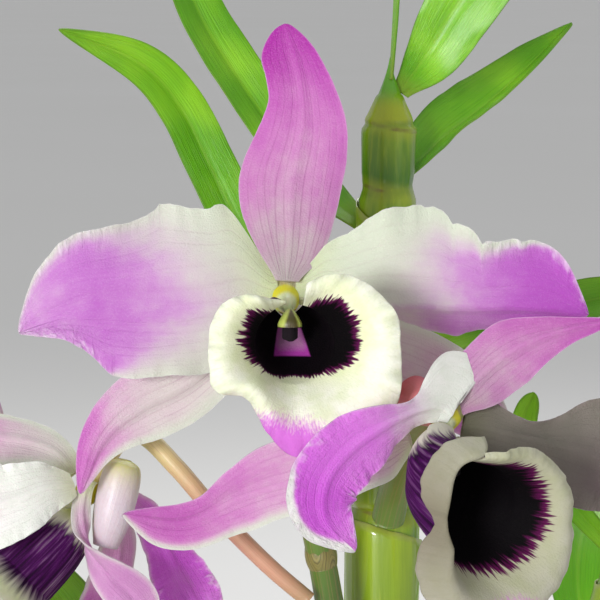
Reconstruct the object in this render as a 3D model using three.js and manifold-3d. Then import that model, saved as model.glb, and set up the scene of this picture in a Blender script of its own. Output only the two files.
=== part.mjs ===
// A noble dendrobium orchid in full bloom, standing in a plain clay pot of bark.
// Jointed canes rise from a short creeping rhizome. Strap leaves sit in two ranks on the upper joints, and blooms open
// there on thin stalks: three sepals behind, two broad petals, a lip rolled round the column, and the chin at the back.
// Millimetres, +Z up, +X to the right and -Y towards the side that the front bloom faces. The origin is the middle of
// the pot's base.
import * as THREE from "three";
import { mergeVertices } from "three/addons/utils/BufferGeometryUtils.js";
import Module from "manifold-3d";

// ---- Driving sizes -------------------------------------------------------------------------------------------------
const POT = { base: 37, foot: 36, rimUnder: 49, rim: 55, height: 88, rimDrop: 18, wall: 5, floor: 6 };
const DRAIN = { radius: 4, ring: 20, count: 3 };
const BARK = { top: 78, mound: 2.5, chips: 28, seed: 7 };
const RHIZOME = { height: 70, radius: 4.4 };
const FOOT = 75; // where the canes leave the rhizome
const HEART = 235; // height of the front bloom's heart
const GAP = 0.35; // left between pieces that touch
const PETAL = 0.7; // thickness of the sepals and petals
const LIP = 0.8;
const LEAF = 0.9;
const TIP = 0.14; // the last share of a blade, which rounds off
const TUBE_SHARE = 0.45; // of the way along the lip, which is rolled into its tube
const LIP_SPLIT = [78, 52, 34, 20, 12]; // half the angle the tube leaves open over the column, in degrees
const ANTHER = 1.75;

const COLOURS = {
  clay: [0xb5683f, 0.9],
  bark: [0x4a3222, 0.95],
  root: [0xb9b8a0, 0.8],
  cane: [0x93a52c, 0.45],
  leaf: [0x3f8a16, 0.4],
  sepal: [0xc987cc, 0.55],
  petal: [0xdfc0de, 0.55],
  lip: [0xe9ebcf, 0.6],
  column: [0xc6cf86, 0.5],
  bud: [0xc9a6c4, 0.5],
};

// ---- Curves --------------------------------------------------------------------------------------------------------
// The value at t, from 0 to 1, of a smooth curve through evenly spaced knots. The knots are numbers, or points.
function through(knots, t) {
  if (Array.isArray(knots[0])) return knots[0].map((_, axis) => through(knots.map((knot) => knot[axis]), t));
  const spans = knots.length - 1;
  const at = Math.min(Math.max(t, 0), 1) * spans;
  const i = Math.min(Math.floor(at), spans - 1);
  const s = at - i;
  const [b, c] = [knots[i], knots[i + 1]];
  const a = knots[i - 1] ?? 2 * b - c;
  const d = knots[i + 2] ?? 2 * c - b;
  return b + 0.5 * s * (c - a + s * (2 * a - 5 * b + 4 * c - d + s * (3 * b - a - 3 * c + d)));
}

const vector = (point) => new THREE.Vector3(...point);

// Stations along a path, each with its point, its tangent, and a sideways direction that is carried along without
// twisting from one that starts square to `face`.
function stations(path, face, steps) {
  const made = [];
  let side = null;
  for (let i = 0; i <= steps; i++) {
    const u = i / steps;
    const point = vector(through(path, u));
    const ahead = vector(through(path, Math.min(u + 0.01, 1)));
    const tangent = ahead.sub(vector(through(path, Math.max(u - 0.01, 0)))).normalize();
    side ??= tangent.clone().cross(vector(face));
    side = side.clone().addScaledVector(tangent, -side.dot(tangent)).normalize();
    made.push({ u, point, tangent, side });
  }
  return made;
}

// ---- Solids --------------------------------------------------------------------------------------------------------
const wasm = await Module();
wasm.setup();

// A three.js geometry from points and the corners of its triangles, turned to face out.
function closedGeometry(points, corners) {
  const volume = corners.reduce((sum, _, i) => {
    if (i % 3) return sum;
    const [a, b, c] = [points[corners[i]], points[corners[i + 1]], points[corners[i + 2]]];
    return sum + a.dot(b.clone().cross(c));
  }, 0);
  const faces = volume < 0 ? corners.slice().reverse() : corners;
  const geometry = new THREE.BufferGeometry();
  geometry.setAttribute("position", new THREE.Float32BufferAttribute(points.flatMap((p) => p.toArray()), 3));
  geometry.setIndex(faces);
  return geometry;
}

// A solid for joining and cutting, from a closed geometry, and a geometry back from a solid.
function solid(geometry) {
  const bare = geometry.clone();
  bare.deleteAttribute("normal");
  bare.deleteAttribute("uv");
  const merged = mergeVertices(bare, 1e-4);
  const vertProperties = merged.attributes.position.array;
  return new wasm.Manifold(new wasm.Mesh({ numProp: 3, vertProperties, triVerts: new Uint32Array(merged.index.array) }));
}

function geometryOf(made) {
  const largest = made.decompose().sort((a, b) => b.volume() - a.volume())[0];
  const mesh = largest.getMesh();
  const geometry = new THREE.BufferGeometry();
  geometry.setAttribute("position", new THREE.BufferAttribute(mesh.vertProperties, 3));
  geometry.setIndex(new THREE.BufferAttribute(mesh.triVerts, 1));
  return geometry;
}

const joined = (geometries) => geometries.map(solid).reduce((all, next) => all.add(next));

// A closed sheet of one thickness. surface(i, j) is its middle at row i and column j, and both of its faces are split
// along the same diagonals.
function sheet(surface, rows, columns, thickness) {
  const middle = [];
  for (let i = 0; i <= rows; i++) for (let j = 0; j <= columns; j++) middle.push(surface(i, j));
  const at = (i, j) => middle[i * (columns + 1) + j];
  const front = [];
  const back = [];
  for (let i = 0; i <= rows; i++) {
    for (let j = 0; j <= columns; j++) {
      const along = at(Math.min(i + 1, rows), j).clone().sub(at(Math.max(i - 1, 0), j));
      const across = at(i, Math.min(j + 1, columns)).clone().sub(at(i, Math.max(j - 1, 0)));
      const normal = along.cross(across).normalize();
      front.push(at(i, j).clone().addScaledVector(normal, thickness / 2));
      back.push(at(i, j).clone().addScaledVector(normal, -thickness / 2));
    }
  }
  const count = front.length;
  const number = (i, j) => i * (columns + 1) + j;
  const corners = [];
  for (let i = 0; i < rows; i++) {
    for (let j = 0; j < columns; j++) {
      const [a, b, c, d] = [number(i, j), number(i + 1, j), number(i + 1, j + 1), number(i, j + 1)];
      corners.push(a, b, c, a, c, d);
      corners.push(count + a, count + c, count + b, count + a, count + d, count + c);
    }
  }
  const rim = [];
  for (let i = 0; i < rows; i++) rim.push(number(i, 0));
  for (let j = 0; j < columns; j++) rim.push(number(rows, j));
  for (let i = rows; i > 0; i--) rim.push(number(i, columns));
  for (let j = columns; j > 0; j--) rim.push(number(0, j));
  rim.forEach((a, k) => {
    const b = rim[(k + 1) % rim.length];
    corners.push(b, a, count + a, b, count + a, count + b);
  });
  return closedGeometry([...front, ...back], corners);
}

// A closed round bar from rings of points, each ring a list, with a point at each end.
function bar(rings, start, end) {
  const sides = rings[0].length;
  const points = [...rings.flat(), start, end];
  const first = points.length - 2;
  const last = points.length - 1;
  const corners = [];
  for (let i = 0; i < rings.length - 1; i++) {
    for (let j = 0; j < sides; j++) {
      const k = (j + 1) % sides;
      const [a, b, c, d] = [i * sides + j, i * sides + k, (i + 1) * sides + k, (i + 1) * sides + j];
      corners.push(a, b, c, a, c, d);
    }
  }
  const top = (rings.length - 1) * sides;
  for (let j = 0; j < sides; j++) {
    const k = (j + 1) % sides;
    corners.push(first, k, j, last, top + j, top + k);
  }
  return closedGeometry(points, corners);
}

// A round bar along a path, as thick as radius(t) says.
function stem(path, radius, steps, sides) {
  const rings = stations(path, [0.13, -0.9, 0.4], steps).map(({ u, point, tangent, side }) => {
    const up = side.clone().cross(tangent);
    return Array.from({ length: sides }, (_, j) => {
      const turn = (2 * Math.PI * j) / sides;
      const out = side.clone().multiplyScalar(Math.cos(turn)).addScaledVector(up, Math.sin(turn));
      return point.clone().addScaledVector(out, radius(u));
    });
  });
  return bar(rings, vector(through(path, 0)), vector(through(path, 1)));
}

// A seeded run of numbers from 0 to 1.
function randomFrom(seed) {
  let state = seed;
  return () => {
    state = (state * 16807) % 2147483647;
    return state / 2147483647;
  };
}

// ---- The plant -----------------------------------------------------------------------------------------------------
const plant = new THREE.Group();

function add(name, geometry, colour) {
  const [color, roughness] = COLOURS[colour];
  const mesh = new THREE.Mesh(geometry, new THREE.MeshStandardMaterial({ color, roughness, metalness: 0 }));
  mesh.name = name;
  plant.add(mesh);
}

// The pot: thrown red clay with a thick rim band, and drain holes through its floor.
function pot() {
  const under = POT.height - POT.rimDrop;
  const profile = [
    [0, 0],
    [POT.foot, 0],
    [POT.base, 1.2],
    [POT.rimUnder - 0.6, under - 1],
    [POT.rimUnder + 3.6, under],
    [POT.rim, POT.height - 1.6],
    [POT.rim - 1, POT.height],
    [POT.rim - POT.wall + 0.6, POT.height],
    [POT.rim - POT.wall - 0.4, POT.height - 1.4],
    [POT.rimUnder - POT.wall, under - 2],
    [POT.base - POT.wall + 1.5, POT.floor],
    [0, POT.floor],
  ].map(([x, z]) => new THREE.Vector2(x, z));
  const wall = new THREE.LatheGeometry(profile, 28).rotateX(Math.PI / 2);
  let made = solid(wall);
  for (let k = 0; k < DRAIN.count; k++) {
    const turn = (2 * Math.PI * k) / DRAIN.count;
    const hole = new THREE.CylinderGeometry(DRAIN.radius, DRAIN.radius, 3 * POT.floor, 10).rotateX(Math.PI / 2);
    hole.translate(DRAIN.ring * Math.cos(turn), DRAIN.ring * Math.sin(turn), POT.floor / 2);
    made = made.subtract(solid(hole));
  }
  add("clay_pot", geometryOf(made), "clay");
}
pot();

// ---- Canes ---------------------------------------------------------------------------------------------------------
// line holds points [x, y] at even heights from the foot to the top, girth the radius at even heights, joints the
// heights where one internode ends and the next begins, and point how far the cane's tip rises over its top. Each
// internode widens upwards and pinches in at its joint.
const CANES = {
  main: {
    top: 261.2, point: 5.4,
    line: [[5, 3], [6.2, 0.5], [8.2, -2.4], [10.2, -4.8], [11.4, -5.2], [12, -3.6], [12.2, -0.8], [12.8, 3]],
    girth: [3.2, 4.4, 5, 5.2, 5.1, 4.9, 4.1, 3.2],
    joints: [97, 118, 139.5, 160, 180.4, 201.8, 224, 246.2, 258.6],
  },
  left: {
    top: 262, point: 0.8,
    line: [[-14, 6], [-20, 8], [-33, 10.5], [-48, 13], [-58, 15], [-63, 16]],
    girth: [3.2, 4.6, 5.2, 5.1, 4.4, 3],
    joints: [98, 121, 144, 167, 190, 214, 239, 256],
  },
  right: {
    top: 203, point: 0.8,
    line: [[21, 9], [25, 11], [34, 15], [45, 19], [54, 23]],
    girth: [3, 4.3, 4.6, 4.1, 3],
    joints: [92, 111, 131, 151, 171, 190],
  },
  old: {
    top: 138, point: 1.2,
    line: [[-8, 20], [-12, 24], [-19, 29], [-26, 33]],
    girth: [3.2, 4.8, 4.7, 3],
    joints: [92, 107, 123],
  },
};
// Where along an internode its rings lie, and how thick each is against the girth.
const INTERNODE = [[0.04, 0.84], [0.45, 0.98], [0.9, 1.08]];

// The middle and the radius of a cane at a height.
function caneAt(cane, height) {
  const t = (height - FOOT) / (cane.top - FOOT);
  const [x, y] = through(cane.line, t);
  return { middle: new THREE.Vector3(x, y, height), radius: through(cane.girth, t) };
}

function caneGeometry(cane, extra = 0) {
  const ends = [FOOT, ...cane.joints, cane.top];
  const rings = [];
  const ring = (height, share) => {
    const { middle, radius } = caneAt(cane, height);
    const turns = Array.from({ length: 8 }, (_, j) => (2 * Math.PI * (j + 0.5)) / 8);
    const size = radius * share + extra;
    rings.push(turns.map((a) => middle.clone().add(new THREE.Vector3(size * Math.cos(a), size * Math.sin(a), 0))));
  };
  for (let k = 0; k < ends.length - 1; k++) {
    const length = ends[k + 1] - ends[k];
    for (const [along, share] of INTERNODE) ring(ends[k] + along * length, share);
  }
  ring(cane.top, 0.7);
  return bar(rings, caneAt(cane, FOOT - 2 * extra).middle, caneAt(cane, cane.top + cane.point).middle);
}

for (const [name, cane] of Object.entries(CANES)) add(`cane_${name}`, caneGeometry(cane), "cane");

// ---- Rhizome and roots ---------------------------------------------------------------------------------------------
// The rhizome creeps under the bark from cane to cane, and fat white roots leave it, some over the pot's rim.
const RUNNERS = [
  [[-16, 5, 0], [-8, 4, 0], [0, 3, 0], [8, 4, 0], [16, 7, 0], [23, 10, 0]],
  [[-4, 3, 0], [-5, 9, 0], [-7, 15, 0], [-9, 22, 0]],
];
const ROOTS = [
  [[-12, 5, 70], [-22, -7, 79], [-32, -19, 83.5], [-40, -28, 91], [-48, -33.5, 90], [-49.6, -35, 76], [-46.5, -35, 62]],
  [[10, 4, 70], [19, -6, 78.5], [26, -17, 81.4], [28, -29, 81.2], [20, -38, 80.6]],
  [[-8, 20, 70], [1, 30, 78.5], [10, 39, 83], [17, 48.5, 91.2], [20.6, 56, 86], [21.6, 56.4, 74], [20, 54, 62]],
  [[20, 9, 70], [30, 11, 79], [38, 6, 82], [41, -5, 81.4], [36, -15, 80.8]],
];
const ROOT_RADIUS = [2.2, 1.8, 1.6, 1.5, 1.4, 1.3, 0.9];

function rootstock(extra = 0) {
  const runners = RUNNERS.map((line) => {
    const path = line.map(([x, y]) => [x, y, RHIZOME.height]);
    return stem(path, (t) => RHIZOME.radius * (1 - 0.35 * Math.abs(2 * t - 1) ** 4) + extra, 5, 6);
  });
  const roots = ROOTS.map((path) => stem(path, (t) => through(ROOT_RADIUS, t) + extra, 2 * path.length - 2, 5));
  return joined([...runners, ...roots]);
}
add("rhizome_and_roots", geometryOf(rootstock()), "root");

// ---- Bark ----------------------------------------------------------------------------------------------------------
// Coarse bark fills the pot. Chips lie over its top, and the canes and roots stand in plain holes.
function bark() {
  const under = POT.height - POT.rimDrop - 2;
  const slope = (POT.rim - POT.rimUnder - 0.4) / (POT.height - 1.4 - under);
  const topRadius = POT.rimUnder - POT.wall + slope * (BARK.top - under) - 2 * GAP;
  const profile = [
    [0, POT.floor + GAP],
    [POT.base - POT.wall + 1, POT.floor + GAP],
    [POT.rimUnder - POT.wall - GAP, under],
    [topRadius, BARK.top - 1],
    [topRadius * 0.55, BARK.top + BARK.mound * 0.5],
    [0, BARK.top + BARK.mound],
  ].map(([x, z]) => new THREE.Vector2(x, z));
  const random = randomFrom(BARK.seed);
  const pieces = [new THREE.LatheGeometry(profile, 24).rotateX(Math.PI / 2)];
  for (let k = 0; k < BARK.chips; k++) {
    const far = (topRadius - 9) * Math.sqrt((k + 0.5) / BARK.chips);
    const turn = 2.39996 * k;
    const chip = new THREE.BoxGeometry(12 + 6 * random(), 7 + 4 * random(), 4 + 2 * random());
    chip.rotateX(0.7 * (random() - 0.5)).rotateY(0.7 * (random() - 0.5)).rotateZ(2 * Math.PI * random());
    const height = BARK.top + BARK.mound * (1 - (far / topRadius) ** 2) + 1.2 * random();
    pieces.push(chip.translate(far * Math.cos(turn), far * Math.sin(turn), height));
  }
  let made = joined(pieces).subtract(rootstock(GAP));
  for (const cane of Object.values(CANES)) made = made.subtract(solid(caneGeometry(cane, GAP)));
  add("bark_chips", geometryOf(made), "bark");
}
bark();

// ---- Blades: leaves, sepals and petals -----------------------------------------------------------------------------
// A blade follows a rib. left and right hold its half widths at even steps, rise is the share of it in which it widens
// from its narrow base, curl bends each half across (towards the face above 0), fold lifts both halves from the rib,
// and wave is a ripple [height, count, start] that grows towards the margins.
const BLADE = { base: 1.5, rise: 0.12, curl: [0, 0], fold: 0, wave: [0, 2, 0], roll: [0, 0] };

function halfWidth(blade, right, u) {
  const rise = u < blade.rise ? Math.sqrt(1 - (1 - u / blade.rise) ** 2) : 1;
  const round = u > 1 - TIP ? Math.sqrt(1 - ((u - 1 + TIP) / TIP) ** 2) : 1;
  const full = through(right ? blade.right : blade.left, u);
  return Math.max((blade.base + (full - blade.base) * rise) * round, 0.25);
}

function bladeGeometry(given, face, rows, columns, thickness) {
  const blade = { ...BLADE, face, ...given };
  blade.left ??= blade.half;
  blade.right ??= blade.half;
  const along = stations(blade.rib, blade.face, rows);
  return sheet(
    (i, j) => {
      const { u, point, tangent, side } = along[i];
      const v = (2 * j) / columns - 1;
      const roll = THREE.MathUtils.degToRad(through(blade.roll, u));
      const across = side.clone().applyAxisAngle(tangent, roll);
      const lifted = across.clone().cross(tangent);
      const far = Math.abs(v) * halfWidth(blade, v > 0, u);
      const bend = (v > 0 ? blade.curl[1] : blade.curl[0]) * Math.sin(Math.PI * Math.min(u + 0.1, 0.95));
      const out = bend ? Math.sin(bend * far) / bend : far;
      const curled = bend ? (1 - Math.cos(bend * far)) / bend : 0;
      const [height, count, start] = blade.wave;
      const ripple = height * Math.abs(v) ** 2.5 * Math.sin(2 * Math.PI * (count * u + start) + (v > 0 ? 2.1 : 0));
      const lift = curled + far * Math.tan(blade.fold) + ripple * Math.sin(Math.PI * u);
      return point.clone().addScaledVector(across, Math.sign(v) * out).addScaledVector(lifted, lift);
    },
    rows,
    columns,
    thickness,
  );
}

// Each leaf leaves its cane at a joint, or carries on from the cane's end.
const LEAVES = {
  main_end: {
    face: [1, 0.15, 0], half: [1.4, 2.8, 4.4, 5.2, 4.6, 1.6], fold: 0.3,
    rib: [[13.2, 3.1, 268.2], [13.5, 3.1, 274.9], [13.8, 3.4, 283.9], [14, 4, 295.9], [14, 3.7, 309], [13.4, 0.9, 322.5]],
  },
  main_top_right: {
    face: [0, -1, 0.2], half: [1, 3.2, 4.6, 5.2, 4.6, 1.8], fold: 0.2,
    rib: [[16.3, 5.1, 262.1], [18, 4.9, 266.6], [22, 4.4, 273.2], [28, 3.4, 281.9], [34.5, 2.2, 292.1], [40, -0.5, 303.5]],
  },
  main_right: {
    face: [-0.3, -0.75, 0.6], half: [1.6, 3.8, 4.8, 4.8, 3.8, 1.3], fold: 0.6,
    rib: [[17.9, 3.1, 249.3], [20.6, 5.9, 253.1], [25, 10.5, 257.2], [29.3, 14.9, 260.6], [35, 20, 265.4], [40.5, 25.7, 270.6]],
  },
  main_left: {
    face: [0.55, -0.75, 0.35], half: [1.4, 3.4, 4.2, 4.4, 4.2, 3.4, 1.3], fold: 0.25,
    rib: [[7, 1.7, 242.3], [2.4, 4.8, 247.7], [-3.8, 7.7, 255.6], [-9.4, 9.2, 263.6], [-14.5, 9.8, 272], [-18.5, 9.5, 282.1], [-21, 8.2, 292.4]],
  },
  main_low_left: {
    face: [0.3, -0.9, 0.3], half: [1.5, 3, 3.7, 3.8, 3.6, 3, 1.1], fold: 0.25,
    rib: [[5.9, 0.4, 224.8], [0, 4.7, 230.8], [-8, 9.4, 240.3], [-13.3, 11.8, 250.4], [-17.7, 12.2, 259.1], [-23.5, 10.5, 265.4], [-34.5, 5.5, 270.3]],
  },
  main_low_right: {
    face: [0, -0.8, 0.6], half: [1.4, 2.9, 3.5, 3.5, 2.9, 1.2], fold: 0.3,
    rib: [[18, 0.3, 224.6], [23, 3.2, 226.3], [30, 6.4, 228], [39, 8.6, 229.9], [48, 9.8, 231.2], [58, 8.6, 229.9]],
  },
  right_young: {
    face: [0, -1, 0], half: [1.2, 1.9, 2.1, 2, 1.4], fold: 0.3,
    rib: [[47.4, 16.1, 190.7], [43, 16.4, 198.3], [39.4, 17, 205.1], [36.4, 17.6, 211.2], [33.9, 18.6, 216.9]],
  },
  left_low: {
    face: [0, -1, 0.2], half: [1.4, 4, 5.4, 5.4, 4.2, 1.5], fold: 0.25,
    rib: [[-40, -3.6, 162.9], [-35.5, -5.1, 170.7], [-32, -6.1, 179.3], [-33, -6.6, 187.9], [-39, -5.8, 194.4], [-46, -3.3, 198.1]],
  },
  left_end: {
    face: [0.3, -0.5, 0.8], half: [1.4, 4.2, 5.4, 5.4, 4.4, 1.6], fold: 0.3,
    rib: [[-63.5, 16, 263.6], [-67, 17, 275], [-72.5, 17, 287], [-80.5, 15, 298], [-90, 11, 305], [-101, 6, 306]],
  },
  left_back: {
    face: [0.4, 0.2, 0.9], half: [1.4, 4, 5.4, 5.4, 4.4, 1.6], fold: 0.3,
    rib: [[-60, 21.6, 241], [-62.5, 28, 249], [-66, 36, 257], [-71, 44, 262], [-78.5, 51, 263], [-87, 57, 260]],
  },
  left_side: {
    face: [0.3, -0.2, 0.9], half: [1.4, 4, 5.4, 5.4, 4.4, 1.6], fold: 0.3,
    rib: [[-63, 13.6, 216], [-69, 13.8, 222], [-78, 15, 228], [-87, 17.6, 230.5], [-96, 21, 229], [-104, 25, 225]],
  },
  right_end: {
    face: [-0.4, -0.3, 0.8], half: [1.4, 4.4, 5.8, 5.8, 4.6, 1.6], fold: 0.3,
    rib: [[55, 23.6, 204.6], [59, 24.4, 216], [64.5, 24, 228], [72, 21.5, 239], [82, 17, 247], [93, 11, 250]],
  },
  right_side: {
    face: [-0.3, 0, 0.9], half: [1.4, 4.4, 5.8, 5.8, 4.6, 1.6], fold: 0.3,
    rib: [[56.6, 25.2, 192], [64, 28, 199], [74, 31.5, 205], [85, 35, 208], [96, 38, 207], [105, 41, 202]],
  },
  right_back: {
    face: [0, -0.4, 0.9], half: [1.4, 4.2, 5.6, 5.6, 4.4, 1.6], fold: 0.3,
    rib: [[44.6, 25, 172], [44, 33, 180], [45, 42, 187], [48, 51, 191], [52, 60, 191], [56, 68, 187]],
  },
  right_low: {
    face: [-0.2, 0.2, 0.9], half: [1.4, 4.4, 5.8, 5.8, 4.6, 1.6], fold: 0.3,
    rib: [[44, 14, 153.6], [52, 11, 162], [62, 6.5, 169], [73, 2.5, 172.5], [84, -1, 171], [94, -4, 166]],
  },
};
for (const [name, blade] of Object.entries(LEAVES)) {
  add(`leaf_${name}`, bladeGeometry(blade, [0, -1, 0], 10, 2, LEAF), "leaf");
}

// ---- Blooms --------------------------------------------------------------------------------------------------------
// In a bloom's own axes its heart, where all its parts meet, is the origin. chin is the tip of the chin, anther the end
// of the column, and tube the middle line of the lip from its claw to its throat. mouth turns the lip's mouth from
// facing -Y, as turn does a bloom: yaw to the right, pitch down and roll clockwise, in degrees. margin is how far the
// lip's edge lies from the middle of the throat, by the clock from the notch at its top, anticlockwise.
// The open bloom faces -Y with its dorsal sepal up.
const OPEN = {
  chin: [0, 8, -3],
  anther: [0.8, -8.4, -3],
  tube: [[0, -1, -2.6], [0.6, -6.5, -4.2], [1.2, -12, -5.7]],
  girth: [2.2, 4.3, 4.9, 5.2, 5.4],
  mouth: [0, 0, 0],
  margin: [6.5, 7, 8.8, 10.4, 11, 11.4, 9.8, 11.6, 13.6, 12, 13.4, 13.3, 13, 12, 9.6, 6.5],
  tepals: {
    dorsal_sepal: {
      left: [1.6, 5.2, 7.2, 5.4, 4.6, 3.2], right: [1.6, 5, 7.1, 5.9, 4.8, 3.2], curl: [-0.05, -0.03], wave: [0.5, 1.2, 0.1],
      rib: [[0.2, 0.9, 2.6], [0.5, 1.7, 9], [1, 1.7, 16.5], [2.3, 1.2, 23.5], [1.8, 1.8, 30], [0, 3.6, 37.2]],
    },
    petal_left: {
      left: [2, 10.4, 11.4, 9.2, 5.2, 2.2], right: [2, 9.9, 11.2, 9.4, 6.8, 4], rise: 0.2, curl: [-0.01, -0.02],
      wave: [0.9, 2.4, 0.3],
      rib: [[-2.2, -0.7, 1], [-9, -1.8, 1.4], [-17, -2.2, 1.4], [-24.3, -1.6, 0.2], [-30, -0.4, -1.2], [-35.6, 1.2, -3.9]],
    },
    petal_right: {
      left: [2, 7.4, 8.6, 6.4, 6, 3.2], right: [2, 8.4, 10.4, 8.6, 5.6, 2.6], rise: 0.2, curl: [0.01, -0.1],
      wave: [1.2, 3.2, 0.2],
      rib: [[2.2, -0.7, 0.8], [9.5, -2, 3.2], [18, -2.6, 4.2], [26, -1.8, 2.8], [33, -0.8, 2], [40, 0.6, -1]],
    },
    lateral_sepal_left: {
      half: [1.8, 4.8, 5.6, 5.2, 3.5, 1.2], curl: [-0.03, -0.03],
      rib: [[-2.5, 1.3, -2.5], [-7.8, 2.4, -7.5], [-14, 2.8, -11.6], [-20.5, 2.6, -14.4], [-25.3, 2, -18.8], [-27.3, 1, -26.3]],
    },
    lateral_sepal_right: {
      half: [1.8, 4.8, 5.8, 5.4, 3.6, 1.2], curl: [-0.03, -0.03],
      rib: [[2.5, 1.3, -2.5], [8, 3.2, -6], [15.5, 4.6, -8.8], [22, 5, -12], [27, 6, -16.5], [30, 9, -22.5]],
    },
  },
};

// The bloom on the right looks down to its own left. It is given in the same upright axes, as it stands.
const DROOPING = {
  chin: [-5, 4, 3.8],
  anther: [2.2, -6.4, -5.4],
  tube: [[-0.2, -1.8, -3], [1.4, -6, -8], [6.2, -10.5, -13]],
  girth: [2.4, 4.8, 5.8, 6.4, 6.8],
  mouth: [36, 16, -12],
  margin: [7.6, 8.6, 9.4, 9.6, 8.2, 9.8, 12.6, 13.6, 13.2, 12.4, 12.2, 12.6, 12, 11, 9.4, 7.6],
  tepals: {
    dorsal_sepal: {
      half: [1.5, 4.4, 5.4, 4.6, 1.6], curl: [-0.08, -0.05],
      rib: [[2.2, 0.6, 2.4], [6.6, 1, 6.8], [12, 1, 10.2], [17.8, 1.8, 12.2], [24, 3, 13]],
    },
    petal_left: {
      left: [3.4, 3.2, 3.6, 4.8, 5, 3.4, 1.4], right: [4.8, 3.6, 3, 4, 4.4, 3.2, 1.4], base: 3, rise: 0.07, curl: [-0.03, -0.1],
      wave: [0.4, 2, 0.1], face: [0.2, -0.95, 0.25],
      rib: [[2.8, -2.6, 4.8], [-2.4, -4.6, 1.6], [-7.4, -7.4, -0.4], [-11.9, -10, -2.4], [-15.2, -11.6, -6.4], [-15.4, -12, -11.4], [-11.4, -11, -16.8]],
    },
    petal_right: {
      left: [1.8, 5.4, 6.2, 6.6, 5.4, 2.6], right: [1.8, 5.4, 7, 7, 5.2, 2.4], rise: 0.16, wave: [0.9, 2.6, 0.5],
      rib: [[2.4, 1.8, -0.8], [8, 3.6, -1.8], [14.4, 5, -3.4], [21, 5.8, -5.4], [27, 6.4, -8], [32.5, 6.6, -11.4]],
    },
    lateral_sepal_left: {
      half: [1.8, 5, 6.4, 5.2, 3.3, 1.3], curl: [-0.02, -0.04],
      rib: [[-3.8, 0.8, -3.8], [-10, 4, -2.6], [-18, 5.8, -4], [-26, 6.6, -9.6], [-34, 6, -14], [-42, 4.2, -12.8]],
    },
    lateral_sepal_right: {
      half: [1.8, 4.6, 5.4, 4.4, 1.4], curl: [-0.03, -0.03],
      rib: [[0.6, 2.6, -2.8], [3, 7.4, -9.6], [5, 10.4, -17], [7, 11.4, -25], [9, 10.4, -33]],
    },
  },
};

// The bloom on the left looks down and away to the left, so its outside shows.
const TURNED = {
  chin: [6, 1.2, 4.8],
  anther: [-5.6, -0.6, -5.2],
  tube: [[-1, 0.4, -2.6], [-4.2, 0.2, -6.2], [-8.8, -0.4, -10.8]],
  girth: [2.2, 3.8, 4.4, 4.8, 5],
  mouth: [-78, 44, 0],
  margin: OPEN.margin,
  tepals: {
    dorsal_sepal: {
      half: [1.2, 2.6, 3.8, 4.4, 3.6, 1.4], curl: [-0.06, -0.06], face: [-0.1, -0.65, 0.75],
      rib: [[-1.8, 3.2, 2.6], [-4.4, 4.6, 5.4], [-8.2, 5.8, 6.9], [-13, 6.6, 7.6], [-18.4, 7, 8], [-24, 7, 7]],
    },
    petal_right: {
      left: [2.2, 3.8, 5.4, 6, 5, 2.2], right: [2.2, 3.8, 5.4, 7, 6.4, 2.8], rise: 0.12, wave: [0.7, 2.2, 0.4],
      face: [-0.2, -0.9, 0.25],
      rib: [[-1.4, -3.6, 1.6], [-5, -6.6, 1.4], [-9, -8.4, -0.1], [-13.4, -8.4, -1.2], [-18, -6.8, -2], [-23.6, -4.6, -3.4]],
    },
    petal_left: {
      half: [1.4, 2.2, 3, 4.2, 4.4, 1.8], rise: 0.1, curl: [-0.04, -0.04], wave: [0.5, 2, 0], face: [0.5, -0.85, 0],
      rib: [[5, 4.6, -0.6], [8, 6.2, -3.4], [10.2, 7, -7.4], [12.4, 7, -11.6], [14.8, 6.4, -16], [17, 5.4, -21.6]],
    },
    lateral_sepal_right: {
      half: [2, 3, 2.9, 2.8, 3.2, 3.2, 1.4], roll: [0, 0, -25, -90, -140, -165, -170], face: [0.3, -0.95, 0],
      rib: [[5.6, -2.8, 3], [4, -3.8, -0.8], [3, -4.4, -4.8], [3.2, -4.3, -8.2], [5.2, -3.8, -11.8], [7.8, -3, -15.4], [10, -2.2, -19.4]],
    },
    lateral_sepal_left: {
      half: [1.6, 3.6, 4.4, 3.8, 1.4], curl: [-0.04, -0.04], face: [0.6, -0.3, -0.7],
      rib: [[3.6, 4.4, -2], [4, 7, -8], [2.6, 8, -14.4], [0, 8, -20.4], [-3.6, 7.6, -26]],
    },
  },
};

// turn and mouth as a rotation. Every bloom looks up by LOOK as well.
function rotation([yaw, pitch, roll]) {
  const [z, x, y] = [yaw, pitch, roll].map(THREE.MathUtils.degToRad);
  return new THREE.Matrix4().makeRotationFromEuler(new THREE.Euler(x, y, z, "ZXY"));
}

// A sheet rolled into a tube along its middle line, which then flares to the margin and turns back a little.
function lipGeometry(form) {
  const rows = 7;
  const columns = 18;
  const mouth = rotation(form.mouth);
  return sheet(
    (i, j) => {
      const u = i / rows;
      const inTube = Math.min(u / TUBE_SHARE, 1);
      const flare = Math.max((u - TUBE_SHARE) / (1 - TUBE_SHARE), 0);
      const split = through(LIP_SPLIT, inTube);
      const turn = split + ((360 - 2 * split) * j) / columns;
      const throat = form.girth.at(-1);
      const reach = throat + (through(form.margin, turn / 360) - throat) * flare;
      const radius = flare ? reach : through(form.girth, inTube);
      const a = THREE.MathUtils.degToRad(turn + 90);
      const low = Math.max(0, -Math.sin(a));
      const out = 4.6 * Math.sin(2 * flare) + 1.6 * low * Math.sin(Math.PI * flare);
      const from = vector([radius * Math.cos(a), -out, radius * Math.sin(a)]).applyMatrix4(mouth);
      return from.add(vector(through(form.tube, inTube)));
    },
    rows,
    columns,
    LIP,
  );
}

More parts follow.
